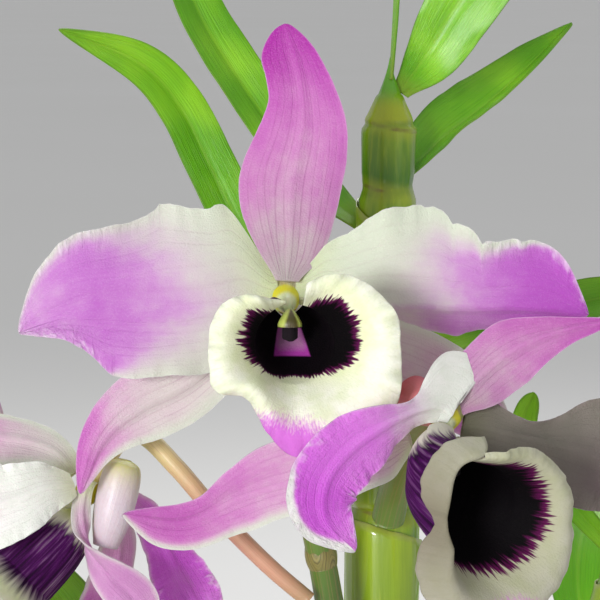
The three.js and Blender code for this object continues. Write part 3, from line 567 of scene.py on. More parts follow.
paper = green_cane.paint(
    0xE0D8BE,
    (fibres.ease(0.35, 0.7), 0xA6926A),
    (green_cane.cloud(where, 3, 4).ease(0.55, 0.75) * 0.6, 0x6E5A3C),
)
body = green_cane.paint(
    body,
    (on_sheath * (1 - dry) * 0.45, 0x9CB01F),
    (on_sheath * sheath_share.ease(0.93, 1.0) * 0.4, 0xC0BE6E),
    (on_sheath * dry, paper),
)
shine = 0.9 - dry * 0.9
green_cane.wear(body, 0.3 + dry * 0.45 + streak * 0.12, streak * 0.5 + fibres * 0.5, 0.12, shine)

for name, cane in CANES.items():
    ends = [CANE_FOOT, *cane["joints"], cane["top"]]
    steps = [low + (high - low) * np.linspace(0, 1, 17)[:-1] for low, high in zip(ends, ends[1:])]
    cap = cane["top"] + cane["point"] * np.linspace(0, 0.97, 12)
    points, marks = cane_surface(cane, np.concatenate([*steps, cap])[:, None], circle(40))
    whole = np.ones(points.shape[:2])
    age = float(cane["dry"] > 1)
    marks["sheath"] = joined(age * whole, 0.5, 0.55 * age)
    marks["inner"] = 0 * whole
    tip = points[-1].mean(0) + [0, 0, 0.03 * cane["point"]]
    cane_skins = [turned(points, points[0].mean(0), tip, marks)]
    for k, (foot, end) in enumerate(zip(ends, ends[1:])):
        share = (foot - CANE_FOOT) / (cane["top"] - CANE_FOOT)
        if end - foot > 8 and foot < cane.get("bare", cane["top"]):
            dry = float(share < cane["dry"])
            cane_skins.append(sheath_skin(cane, foot + 0.4, end, dry, k + len(name)))
    make_piece(f"cane_{name}", cane_skins, green_cane)

# ---- The leaves ----------------------------------------------------------------------------------
# Thin leathery straps in two ranks. Each grows out of its sheath at a joint and is folded along its midrib.
# It is glossy on top with fine veins along it, paler and duller beneath, and a little ragged at its margin.

# A leaf is drawn out of the nearest cane by its first point, unless it hangs free in front of it.
LEAVES = {
    "main_end": {
        "face": [1, -0.05, 0], "half": [1.4, 2.8, 4.4, 5.2, 4.6, 1.6], "fold": 0.08,
        "rib": [
            [13.2, 3.1, 264.6], [13.5, 3.1, 273.4], [13.8, 3.4, 283.3], [14, 4, 295.9], [14, 3.7, 309],
            [13.4, 0.9, 322.5],
        ],
    },
    "main_top_right": {
        "face": [0, -1, 0.2], "left": [1, 3, 4.4, 5, 4.6, 1.8], "right": [1.6, 4.6, 5.6, 5.6, 4.6, 1.8],
        "fold": 0.2,
        "rib": [
            [16.3, 5.1, 262.1], [18, 4.9, 266.6], [22, 4.4, 273.2], [28, 3.4, 281.9], [34.5, 2.2, 292.1],
            [40, -0.5, 303.5],
        ],
    },
    "main_right": {
        "face": [-0.3, -0.75, 0.6], "left": [1.4, 3.4, 4.4, 4.4, 3.4, 1.2],
        "right": [1.2, 2, 2.4, 2.4, 1.8, 0.8], "fold": 0.6,
        "rib": [
            [15.4, 2.4, 248.8], [17.6, 6, 251.6], [21.4, 10.6, 254.7], [26, 15, 257.8], [32, 20, 262.4],
            [41, 25.7, 270.8],
        ],
    },
    "main_left": {
        "face": [0.55, -0.75, 0.35], "half": [1.4, 3.4, 4.2, 4.4, 4.2, 3.4, 1.3], "fold": 0.25,
        "rib": [
            [7, 1.7, 242.3], [2.4, 4.8, 247.7], [-3.8, 7.7, 255.6], [-9.4, 9.2, 263.6], [-14.5, 9.8, 272],
            [-18.5, 9.5, 282.1], [-21, 8.2, 292.4],
        ],
    },
    "main_low_left": {
        "face": [0.3, -0.9, 0.3], "half": [1.5, 3, 3.7, 3.8, 3.6, 3, 1.1], "fold": 0.25,
        "rib": [
            [5.9, 0.4, 224.8], [0, 4.7, 230.8], [-8, 9.4, 240.3], [-13.3, 11.8, 250.4],
            [-17.7, 12.2, 259.1], [-23.5, 10.5, 265.4], [-34.5, 5.5, 270.3],
        ],
    },
    "main_low_right": {
        "face": [0, -0.8, 0.6], "half": [1.4, 2.9, 3.5, 3.5, 2.9, 1.2],
        "rib": [
            [18, 0.3, 224.6], [23, 3.2, 226.3], [30, 6.4, 228], [39, 8.6, 229.9], [48, 9.8, 231.2],
            [58, 8.6, 229.9],
        ],
    },
    "right_young": {
        "face": [0, -1, 0], "half": [1.2, 1.8, 1.9, 1.9, 1.9], "tip": 0.22,
        "rib": [
            [47.4, 16.1, 190.7], [41.6, 16.4, 198.3], [36.4, 17, 205.1], [33.8, 17.6, 210.6],
            [35.2, 18.6, 215.6],
        ],
    },
    "left_low": {
        "free": True, "face": [0, -1, 0.2], "half": [1.4, 4, 5.4, 5.4, 4.2, 1.5], "fold": 0.25,
        "rib": [
            [-40, -3.6, 162.9], [-35.5, -5.1, 170.7], [-32, -6.1, 179.3], [-33, -6.6, 187.9],
            [-39, -5.8, 194.4], [-46, -3.3, 198.1],
        ],
    },
    "left_end": {
        "face": [0.3, -0.5, 0.8], "half": [1.4, 4.2, 5.4, 5.4, 4.4, 1.6],
        "rib": [
            [-63.5, 16, 263.6], [-67, 17, 275], [-72.5, 17, 287], [-80.5, 15, 298], [-90, 11, 305],
            [-101, 6, 306],
        ],
    },
    "left_back": {
        "face": [0.4, 0.2, 0.9], "half": [1.4, 4, 5.4, 5.4, 4.4, 1.6],
        "rib": [
            [-60, 21.6, 241], [-62.5, 28, 249], [-66, 36, 257], [-71, 44, 262], [-78.5, 51, 263],
            [-87, 57, 260],
        ],
    },
    "left_side": {
        "face": [0.3, -0.2, 0.9], "half": [1.4, 4, 5.4, 5.4, 4.4, 1.6],
        "rib": [
            [-63, 13.6, 216], [-69, 13.8, 222], [-78, 15, 228], [-87, 17.6, 230.5], [-96, 21, 229],
            [-104, 25, 225],
        ],
    },
    "right_end": {
        "face": [-0.4, -0.3, 0.8], "half": [1.4, 4.4, 5.8, 5.8, 4.6, 1.6],
        "rib": [
            [55, 23.6, 204.6], [59, 24.4, 216], [64.5, 24, 228], [72, 21.5, 239], [82, 17, 247],
            [93, 11, 250],
        ],
    },
    "right_side": {
        "face": [-0.3, 0, 0.9], "half": [1.4, 4.4, 5.8, 5.8, 4.6, 1.6],
        "rib": [
            [56.6, 25.2, 192], [64, 28, 199], [74, 31.5, 205], [85, 35, 208], [96, 38, 207],
            [105, 41, 202],
        ],
    },
    "right_back": {
        "face": [0, -0.4, 0.9], "half": [1.4, 4.2, 5.6, 5.6, 4.4, 1.6],
        "rib": [
            [44.6, 25, 172], [44, 33, 180], [45, 42, 187], [48, 51, 191], [52, 60, 191], [56, 68, 187],
        ],
    },
    "right_low": {
        "face": [-0.2, 0.2, 0.9], "half": [1.4, 4.4, 5.8, 5.8, 4.6, 1.6],
        "rib": [
            [44, 14, 153.6], [52, 11, 162], [62, 6.5, 169], [73, 2.5, 172.5], [84, -1, 171],
            [94, -4, 166],
        ],
    },
}
# What a leaf and any blade are like unless their own entries say otherwise. A pair is for the left and the
# right half. face is the side that the blade shows, base its half width where it starts, and rise and tip
# the shares of its length in which it opens and closes. roll twists it; fold, curl and hinge bend its
# halves; keel and swells raise it; wave, frill and ragged ripple its margin, and notches cut it.
LEAF = {"fold": 0.3, "keel": 0.25, "frill": [0.12, 3], "ragged": 0.006}
BLADE = {
    "face": [0, -1, 0], "base": 1.5, "rise": 0.12, "curl": [0, 0], "fold": 0, "wave": [0, 2, 0],
    "roll": [0, 0], "hinge": [0, 0], "keel": 0.0, "frill": [0.0, 12], "ragged": 0.0, "notches": [],
    "tip": 0.14, "swells": [],
}


def blade_surface(given, rows, columns, seed):
    """A blade's middle surface and its marks. Its width opens from the base as a quarter circle and closes
    at the tip as another. From the rib each half goes out by sin(bend * far) / bend and up by
    (1 - cos(bend * far)) / bend, is lifted by fold, by a keel at the rib and by broad swells beside it, and
    ripples as sine waves that grow towards the margin. A half with a hinge is turned back by that angle
    about the rib."""
    form = {**BLADE, **given}
    t = np.linspace(0, 1, rows)
    u = 0.35 * t + 0.65 * (1 - np.cos(np.pi * t)) / 2
    v = np.sin(np.linspace(np.pi / 2, -np.pi / 2, columns))
    points, tangents, side = stations(form["rib"], form["face"], u)
    roll = np.radians(through(form["roll"], u))[:, None]
    across = side * np.cos(roll) + np.cross(tangents, side) * np.sin(roll)
    lifted = np.cross(across, tangents)
    u, on_right = u[:, None], v > 0

    def sided(pair):
        return np.where(on_right, pair[1], pair[0])

    rise = np.sqrt(1 - (1 - np.minimum(u / form["rise"], 1)) ** 2)
    close = np.sqrt(1 - np.clip((u - 1 + form["tip"]) / form["tip"], 0, 1) ** 2)
    base = sided(np.broadcast_to(form["base"], 2))
    grown = sided([through(form.get(half, form.get("half")), u) for half in ("left", "right")])
    width = np.maximum((base + (grown - base) * rise) * close, 0.12)
    for half, place, deep, wide in form["notches"]:
        width = width * (1 - deep * bell(u - place, wide) * (on_right == half))
    waves = sum(np.sin(2 * np.pi * k * u + seed * k) / k**0.5 for k in (7, 11, 17, 29))
    far = np.abs(v) * width * (1 + form["ragged"] * waves * np.abs(v) ** 3)
    bend = sided(form["curl"]) * np.sin(np.pi * np.minimum(u + 0.1, 0.95)) + 1e-7
    height, count, start = form["wave"]
    ripple = height * np.abs(v) ** 2.5 * np.sin(2 * np.pi * (count * u + start) + 2.1 * on_right)
    tall, many = form["frill"]
    phase = seed + 1.3 * on_right
    frill = sum(np.sin(2 * np.pi * many * k * u + 2.4 * k + phase) / k for k in (1, 1.7, 2.6))
    keel = form["keel"] * (1 - bell(far, 0.12 + 0.11 * width))
    swells = sum(high * bell(v - at, broad) for at, broad, high in form["swells"])
    relief = ripple + tall * np.abs(v) ** 5 * frill + keel + swells
    folded = np.tan(form["fold"]) * (np.sqrt(far**2 + 0.16) - 0.4)
    lift = (1 - np.cos(bend * far)) / bend + folded + relief * np.sin(np.pi * np.clip(u, 0, 1)) ** 0.6
    spread = np.sin(bend * far) / bend
    hinge = np.radians(sided(form["hinge"])) * (1 - np.exp(-far / 0.5))
    up = lift * np.cos(hinge) - spread * np.sin(hinge)
    out = np.sign(v) * (spread * np.cos(hinge) + lift * np.sin(hinge))
    surface = points[:, None] + across[:, None] * out[..., None] + lifted[:, None] * up[..., None]
    return surface, {"blade": joined(u, v, width * (1 - np.abs(v)))}


leaf = Finish(
    "leaf", Specular_IOR_Level=0.3, Coat_Weight=0.15, Coat_Roughness=0.2, Subsurface_Weight=0.12,
    Subsurface_Scale=0.001,
)
where = leaf.place()
u, v, edge = (leaf.mark("blade", part) for part in range(3))
inner = leaf.mark("inner", 0)
rows_of_cells = leaf.node("ShaderNodeCombineXYZ", inputs={0: v * 9, 1: u * 2.2, 2: inner * 5})
veins = leaf.cloud(rows_of_cells, 0.5, 3, 0.6)
fine = leaf.cloud(leaf.node("ShaderNodeCombineXYZ", inputs={0: v * 40, 1: u * 3}), 0.6, 2)
rib = v.size().ease(0.02, 0.1, 1, 0)
body = leaf.paint(
    0x64AC10,
    (leaf.cloud(where, 14, 2).ease(0.35, 0.7), 0x96D428),
    (veins.ease(0.45, 0.7) * 0.25, 0x3E8406),
    (fine.ease(0.55, 0.75) * 0.12, 0xA8CC50),
    (rib * 0.3, 0x93C038),
    (edge.ease(0.0, 0.35, 1, 0) * 0.4, 0x45721A),
    (u.ease(0.0, 0.12, 1, 0) * 0.6, 0xA3BE3C),
    ((1 - inner) * 0.4, 0x90BC46),
)
leaf.wear(body, 0.3 + (1 - inner) * 0.2 + fine * 0.1, veins * 0.6 + fine * 0.4, 0.2)

for number, (name, given) in enumerate(LEAVES.items()):
    first, second = np.array(given["rib"][:2], float)
    shares = [(first[2] - CANE_FOOT) / (cane["top"] - CANE_FOOT) for cane in CANES.values()]
    axes = [np.append(through(c["line"], share), first[2]) for c, share in zip(CANES.values(), shares)]
    axis = min(axes, key=lambda middle: np.linalg.norm(middle - first))
    if not given.get("free"):
        given["rib"][0] = (first + 0.6 * (axis - first) - 0.15 * (second - first) * [0, 0, 1]).tolist()
    trim = {**LEAF, "wave": [0.25, 1.3, number / 7], **given}
    points, marks = blade_surface(trim, 80, 19, number)
    thickness = 0.55 - 0.3 * np.abs(marks["blade"][..., 1]) ** 6
    make_piece(f"leaf_{name}", [sheet_skin(points, thickness, marks)], leaf)

# ---- Sepals and petals ---------------------------------------------------------------------------
# Five thin fleshy tepals to a bloom, white with a breath of green at the base, flushed lilac and then purple
# outwards, with paler margins and a painted highlight along their rims. White glints painted on their cells
# stand for light caught like frost, some carry painted light or shade, and faint darker veins run along them.

# Each is a blade in its bloom's own frame. From its base to its tip blush is its lilac, lower the same on its
# right half, deep its purple, then a painted shade that darkens it, and pale the width of its two white
# margins.
OPEN = {
    "dorsal_sepal": {
        "left": [1.8, 3.6, 5.5, 6.9, 7.4, 6.5, 5.6, 4.6, 4.6, 4.6, 3.8],
        "right": [1.8, 4.1, 5.2, 6.1, 6.6, 6.6, 5.9, 4.7, 3.5, 2.5, 1.8], "curl": [-0.05, -0.03],
        "wave": [0.5, 1.2, 0.1],
        "rib": [
            [0.2, -0.9, 2.5], [0.6, -0.1, 8.7], [1, 0.9, 16.1], [2.3, 1.2, 23.8], [1.8, 1.8, 30.8],
            [-0.2, 3.6, 37.2],
        ],
        "blush": [0.35, 0.5, 0.66, 0.84, 1, 1], "deep": [0, 0.02, 0.08, 0.25, 0.6, 0.95],
        "pale": [[0.3, 0.3], [0.4, 0.3]], "swells": [[0, 0.5, -0.5]], "glow": 0.16, "veins": 0.8,
        "painted_shade": [0.4, 0.24, 0.12, 0.04, 0], "green": 0,
    },
    "petal_left": {
        "left": [1.5, 7.6, 8.2, 8.4, 8.2, 8.7, 8.2, 5.6, 3.2, 1.8, 0.8], "rise": 0.2, "base": [1.5, 6],
        "curl": [-0.01, -0.02], "right": [1.5, 13.3, 13.4, 14.4, 15, 13.1, 11.4, 10.8, 8.7, 5.6, 2.9],
        "wave": [0.8, 2.2, 0.3],
        "rib": [
            [-0.8, 0.3, 0.3], [-8.4, -1.7, -1], [-16.3, -2.2, -1.9], [-23.7, -1.6, -1.6],
            [-29.7, -0.4, -2.4], [-35.7, 1.2, -4.4],
        ],
        "blush": [0.04, 0.36, 0.62, 0.85, 0.7, 0.6], "deep": [0, 0.02, 0.1, 0.24, 0.1, 0.04],
        "crisp": 1.3, "whiten": 0.76, "painted_shade": [0, 0, 0.1, 0.08, 0],
        "pale": [[9, 8, 4.2, 0.6, 0.3, 0.3], [9, 9, 6.5, 2.6, 1.2, 0.6]],
        "swells": [[0.45, 0.3, 0.7], [-0.3, 0.25, -0.6], [0.05, 0.16, -0.5]],
    },
    "petal_right": {
        "left": [1.5, 8, 9.3, 11.3, 12.8, 13.3, 13.2, 10.6, 8.6, 9, 8.4, 5.7, 2.5], "rise": 0.2,
        "base": [4, 1.5], "curl": [0.01, -0.1],
        "right": [1.5, 3.6, 4, 4.4, 4.8, 5.8, 6.6, 6.4, 5.6, 4.4, 2], "wave": [1, 3.2, 0.2],
        "rib": [
            [1.2, 0.3, 0.7], [8.2, -1.9, -0.4], [15.8, -2.8, -0.8], [24.4, -2.4, -0.8],
            [33.1, -1.2, -0.9], [40.4, 0.6, -1.9],
        ],
        # The lilac of the lower half below the crease is partly its own colour and partly painted shade.
        "blush": [0.02, 0.1, 0.26, 0.62, 0.92, 0.9], "lower": [0.1, 0.25, 0.4, 0.7, 0.95, 0.95],
        "hinge": [0, 42], "deep": [0, 0, 0.04, 0.18, 0.42, 0.55],
        "pale": [[9, 8, 5.5, 2.4, 0.8, 0.4], [0.5, 0.4, 0.3]], "swells": [[-0.4, 0.25, 0.6]],
        "notches": [
            [False, 0.47, 0.03, 0.01], [False, 0.55, 0.07, 0.012], [False, 0.635, 0.1, 0.012],
            [False, 0.76, 0.05, 0.012],
        ],
    },
    "lateral_sepal_left": {
        "left": [1.8, 3.4, 4.2, 4.4, 4.9, 5.2, 5, 4, 3, 1.6, 0.9],
        "right": [1.8, 4, 4.6, 4.8, 4.8, 4.8, 4.8, 4.2, 3.2, 2.2, 1.3], "curl": [-0.03, -0.03],
        "veins": 0.7,
        "rib": [
            [-2.4, 1.3, -2.7], [-7.8, 2.4, -7], [-13.6, 2.8, -11.4], [-19.6, 2.6, -14.5],
            [-24.5, 2, -18.8], [-27.5, 1, -25.9],
        ],
        "blush": [0.3, 0.25, 0.3, 0.4, 0.75, 1], "deep": [0, 0, 0.03, 0.1, 0.2, 0.4],
        "pale": [[1.6, 1.6, 0.5], [1.2, 0.3, 0.3]], "swells": [[0.35, 0.2, 0.4], [-0.3, 0.25, -0.4]],
        "glow": 0.2,
    },
    "lateral_sepal_right": {
        "half": [1.8, 4.8, 5.8, 5.4, 3.6, 1.2], "curl": [-0.03, -0.03], "veins": 0.5,
        "rib": [
            [2.5, 1.3, -2.5], [8, 3.2, -6], [15.5, 4.6, -8.8], [22, 5, -12], [27, 6, -16.5],
            [30, 9, -22.5],
        ],
        "blush": [0.25, 0.28, 0.34, 0.5, 0.8, 1], "deep": [0, 0, 0.02, 0.1, 0.25, 0.5],
        "pale": [[1.2, 1.2, 0.4], [0.6, 0.4]],
    },
}
DROOPING = {
    "dorsal_sepal": {
        "left": [1.5, 3.4, 4, 4.2, 2.8, 1.4, 0.7], "right": [1.5, 3.9, 4.5, 4.4, 3, 1.6, 0.8],
        "curl": [-0.08, -0.05],
        "rib": [[1.3, 0.6, 1.5], [4.8, 1, 5.7], [9.1, 1, 9], [15, 1.8, 11.3], [21.9, 3, 12.7]],
        "veins": 0.6, "blush": [0.5, 0.6, 0.7, 0.8, 1], "deep": [0, 0.03, 0.1, 0.25, 0.6],
        "pale": [[0.3, 0.3], [0.3, 0.3]], "glow": 0.15, "painted_shade": [0.3, 0.25, 0.15, 0.1, 0],
    },
    "petal_left": {
        "left": [1.2, 1.9, 2, 2, 2.4, 3.6, 4.6, 5, 5.1, 5.2, 5, 4, 2.2], "base": [1.2, 4.6], "rise": 0.05,
        "curl": [-0.03, -0.04], "right": [4.8, 8.6, 5.8, 2.2, 1.5, 2.6, 3.7, 4.4, 4.6, 5, 4.4, 2.6, 1.2],
        "wave": [0.4, 2, 0.1], "face": [0.2, -0.95, 0.25],
        "rib": [
            [0.8, -1.4, 0.6], [-0.7, -2, 1.7], [-3.7, -4.4, 1.4], [-7.8, -8.2, -0.3],
            [-12.1, -10.4, -3.1], [-15.3, -12, -7.1], [-15.5, -12, -11.7], [-11.8, -11, -15.9],
        ],
        "blush": [0, 0.02, 0.5, 0.9, 1, 1, 1], "deep": [0, 0, 0.03, 0.2, 0.4, 0.62, 0.3], "green": 0,
        "veins": 0, "pale": [[0.3, 0.3, 0.3], [0.3, 0.3, 0.3, 0.3, 0.4, 1.4, 1.3]], "crisp": 5,
    },
    "petal_right": {
        "left": [1.8, 3.8, 2.8, 2.2, 3.8, 7, 8, 7.6, 6.2, 4.4, 2.4], "right": [1.8, 5.4, 7, 7, 5.2, 2.4],
        "rise": 0.16, "wave": [0.9, 2.6, 0.5],
        "rib": [
            [2.4, 1.8, -0.8], [8, 3.6, -1.8], [14.4, 5, -3.4], [21, 5.8, -5.4], [27, 6.4, -8],
            [32.5, 6.6, -11.4],
        ],
        "blush": [0, 0, 0.1, 0.25, 0.6, 0.9], "deep": [0, 0, 0, 0.05, 0.2, 0.5],
        "pale": [[5, 4, 2], [2, 2, 1]], "painted_shade": [1, 1],
    },
    "lateral_sepal_left": {
        "left": [1.8, 4.4, 5, 5, 4.6, 4.4, 4.7, 4.1, 3.8, 3.2, 1.6],
        "right": [1.8, 4, 5, 5.4, 5.6, 5.4, 3.9, 2.5, 2.4, 1.8, 1], "curl": [-0.03, 0.05], "veins": 0.6,
        "swells": [[0.1, 0.3, -0.5]],
        "rib": [
            [-4.4, 0.8, -2.6], [-10.8, 3.4, -4.3], [-18.6, 5.8, -7.8], [-26.5, 6.6, -10.4],
            [-33.6, 6, -13.5], [-41.6, 4.2, -12.5],
        ],
        "blush": [0.3, 0.5, 0.55, 0.7, 0.9, 1], "deep": [0, 0.03, 0.06, 0.15, 0.3, 0.3],
        "pale": [[1, 1, 0.8], [0.3, 0.3]],
    },
    "lateral_sepal_right": {
        "half": [1.8, 4.6, 5.4, 4.4, 1.4], "curl": [-0.03, -0.03],
        "rib": [[0.6, 2.6, -2.8], [3, 7.4, -9.6], [5, 10.4, -17], [7, 11.4, -25], [9, 10.4, -33]],
        "blush": [0.1, 0.2, 0.4, 0.7, 1], "deep": [0, 0, 0.1, 0.3, 0.6], "pale": [[1, 1], [1, 1]],
    },
}
TURNED = {
    "dorsal_sepal": {
        "half": [1.2, 2.6, 3.8, 4.4, 3.6, 1.4], "curl": [-0.06, -0.06], "face": [-0.1, -0.65, 0.75],
        "rib": [
            [-1.8, 3.2, 2.6], [-4.4, 4.6, 5.4], [-8.2, 5.8, 6.9], [-13, 6.6, 7.6], [-18.4, 7, 8],
            [-24, 7, 7],
        ],
        "blush": [0.1, 0.2, 0.3, 0.45, 0.7, 1], "deep": [0, 0, 0.05, 0.1, 0.3, 0.6],
        "pale": [[1, 1], [1, 1]],
    },
    "petal_right": {
        "left": [2.2, 3.8, 5.4, 6, 5, 2.2], "right": [2.2, 3.8, 5.4, 7, 6.4, 2.8], "rise": 0.12,
        "wave": [0.7, 2.2, 0.4], "face": [-0.2, -0.9, 0.25],
        "rib": [
            [-1.4, -3.6, 1.6], [-5, -6.6, 1.4], [-9, -8.4, -0.1], [-13.4, -8.4, -1.2], [-18, -6.8, -2],
            [-23.6, -4.6, -3.4],
        ],
        "blush": [0, 0.02, 0.1, 0.35, 0.6, 0.8], "deep": [0, 0, 0, 0.1, 0.2, 0.4],
        "pale": [[2, 2, 1], [2, 3, 2]],
    },
    "petal_left": {
        "half": [1.4, 2.2, 3, 4.2, 4.4, 1.8], "rise": 0.1, "curl": [-0.04, -0.04], "wave": [0.5, 2, 0],
        "face": [0.5, -0.85, 0],
        "rib": [
            [5, 4.6, -0.6], [8, 6.2, -3.4], [10.2, 7, -7.4], [12.4, 7, -11.6], [14.8, 6.4, -16],
            [17, 5.4, -21.6],
        ],
        "blush": [0.5, 0.7, 0.8, 0.9, 0.9, 0.9], "deep": [0.3, 0.5, 0.6, 0.6, 0.6, 0.6],
        "pale": [[0.5, 0.5], [0.5, 0.5]],
    },
    "lateral_sepal_right": {
        "half": [0.8, 1.3, 1.6, 2.1, 2.8, 3.2, 1.4], "roll": [0, 0, -25, -90, -140, -165, -170],
        "face": [0.3, -0.95, 0],
        "rib": [
            [0.6, -3, 2.2], [-0.2, -3.8, -1], [0, -4.6, -4], [1.2, -4.8, -7.2], [3.8, -4.6, -10.6],
            [7, -3.6, -14.2], [9.8, -2.4, -19],
        ],
        "blush": [0, 0.3, 0.55, 0.7, 0.75, 0.8, 0.9], "deep": [0, 0, 0.1, 0.25, 0.4, 0.4, 0.5],
        "pale": [[0.6, 0.6], [0.6, 0.6]], "green": 0.8,
    },
    "lateral_sepal_left": {
        "half": [1.6, 3.6, 4.4, 3.8, 1.4], "curl": [-0.04, -0.04], "face": [0.6, -0.3, -0.7],
        "rib": [[3.6, 4.4, -2], [4, 7, -8], [2.6, 8, -14.4], [0, 8, -20.4], [-3.6, 7.6, -26]],
        "blush": [0.3, 0.5, 0.7, 0.9, 1], "deep": [0, 0.1, 0.3, 0.5, 0.6],
        "pale": [[0.6, 0.6], [0.6, 0.6]],
    },
}
# A bloom is turned by yaw, pitch and roll. fine is its share of the full grid, thick the stalk's radius at
# its foot and at the ovary, rosy how red they are, ripe how far up the stalk its colour starts, and bract
# says whether a papery cup wraps its foot.
BLOOMS = {
    "front": {
        "heart": [-1.9, -25, 235], "turn": [0, -7, 0], "tepals": OPEN, "fine": 1.0, "thick": [2, 1.4],
        "rosy": 0.4, "ripe": 0, "bract": 1,
        "stalk": [
            [6.6, -10, 182], [4.6, -14.1, 188.8], [3.2, -15.8, 196.6], [1.6, -17.2, 204.8],
            [0.2, -17, 214.9], [-1.2, -15.7, 225.8], [-1.8, -16, 234.3], [-1.9, -19.7, 236.8],
        ],
    },
    "right": {
        "heart": [18.6, -39.8, 221.3], "turn": [0, -7, 0], "tepals": DROOPING, "fine": 1.0,
        "thick": [2.2, 1.4], "rosy": 0.1, "ripe": 0.3, "bract": 0,
        "stalk": [
            [12.4, -9.9, 202.3], [13.2, -12.7, 206.9], [14.2, -17.8, 211.9], [15.8, -24.2, 216.8],
            [18.2, -30.8, 220.6], [19.6, -35.6, 222.6],
        ],
    },
    "left": {
        "chin_foot": [2.4, -1.6, -8.5], "heart": [-29.2, -20.3, 207.7], "turn": [0, -7, 0],
        "tepals": TURNED, "fine": 1.0, "thick": [1.1, 1.3], "rosy": 1, "ripe": 0.45, "bract": 0,
        "stalk": [
            [1.2, -18.3, 192.5], [-4.6, -17.9, 197.5], [-11.5, -17.5, 204.5], [-17, -16.7, 210.8],
            [-22, -14.8, 215], [-26, -15.2, 213.2],
        ],
    },
    "back": {
        "heart": [20, 42, 140], "turn": [165, 4, 4], "tepals": OPEN, "fine": 0.6, "thick": [1.5, 1.4],
        "rosy": 0.6, "ripe": 0.1, "bract": 0,
        "stalk": [[8.4, 9.6, 121], [10.5, 16, 126], [13.4, 24, 132.4], [17, 33, 137.6]],
    },
    "high": {
        "heart": [-84, -3, 261], "turn": [-35, 8, -6], "tepals": OPEN, "fine": 0.6, "thick": [1.5, 1.4],
        "rosy": 0.6, "ripe": 0.1, "bract": 0,
        "stalk": [[-63.6, 11.8, 241], [-68.4, 8.6, 247], [-73.8, 5, 252.6], [-79, 1, 257.6]],
    },
}


def in_bloom(bloom, points):
    """Points of a bloom that faces -Y, turned its own way and moved to its heart."""
    return np.asarray(points, float) @ rotation(*bloom["turn"]).T + bloom["heart"]


def tepal_finish(name, veined, crimping, white, lilac, pink, purple):
    """White to lilac to purple by the piece's own marks, with fine veins and painted shade, a painted
    highlight along its rim and painted white glints on its frosted skin.
    """
    tepal = Finish(
        name, Specular_IOR_Level=0.35, Subsurface_Weight=0.3, Subsurface_Radius=(1.0, 0.75, 0.9),
        Subsurface_Scale=0.0012, Sheen_Weight=0.12, Sheen_Roughness=0.4,
    )
    where = tepal.place()
    u, v, edge = (tepal.mark("blade", part) for part in range(3))
    blush, deep, green = (tepal.mark("flush", part) for part in range(3))
    inner = tepal.mark("inner", 0)
    grain = tepal.node("ShaderNodeCombineXYZ", inputs={0: v * 7, 1: u * 2.4, 2: inner * 3})
    streaks = tepal.cloud(grain, 0.55, 3, 0.6)
    mottle = tepal.cloud(where, 2.3, 3, 0.6)
    broad = tepal.cloud(where, 7, 2)
    cells = tepal.cells(where, 0.24)
    crimps = tepal.cloud(tepal.node("ShaderNodeCombineXYZ", inputs={0: v * 3, 1: u * 42}), 1, 3)
    crimped = crimps * edge.ease(0.0, 4.5, 1, 0) * u.ease(0.3, 0.7) * crimping
    wander = v * 5.5 + tepal.cloud(grain, 1.6, 2) * 1.4
    lane = wander.math("PINGPONG", wander, 0.5)
    vein = lane.ease(0.0, 0.15, 1, 0) * edge.ease(0.3, 1.6) * streaks.ease(0.3, 0.6, 0.3, 1)
    depth = blush + ((mottle - 0.5) * 0.5 + (streaks - 0.5) * 0.3 + (broad - 0.5) * 0.8) * blush
    body = tepal.paint(
        white,
        (green, 0xC3D084),
        (mottle.ease(0.3, 0.8) * 0.3, 0xC6D0BA),
        (depth.ease(0.0, 0.8), lilac),
        (depth.ease(0.4, 1.05) * 0.85, pink),
        ((deep * (0.68 + streaks * 0.2 + broad * 0.44)).ease(0.03, 1.0) * 0.92, purple),
        (vein * tepal.mark("veins_and_painted_shade", 0) * veined, 0x9C4A86),
        (crimped.ease(0.4, 0.66) * 0.4, 0xF4E4F4),
        # Painted highlight: a thin pale line along the very rim.
        (edge.ease(0.0, 0.2, 0.2, 0), 0xF2E8F2),
        ((1 - inner) * 0.25, 0xDCCFDA),
        # Painted glints: white specks on the frost-like cells.
        (cells.ease(0.0, 0.5, 0.07, 0), 0xFFFFFF),
    )
    # Painted shade: the tepal is multiplied towards grey by the share of shade kept on its points.
    body = tepal.mix(tepal.mark("veins_and_painted_shade", 1), body, tone(0x827C76), "MULTIPLY")
    relief = cells * 0.25 + (1 - vein) * 0.2 + streaks * 0.5 + crimped * 3.2
    tepal.wear(body, 0.42 + cells * 0.3, relief, 0.18)
    return tepal


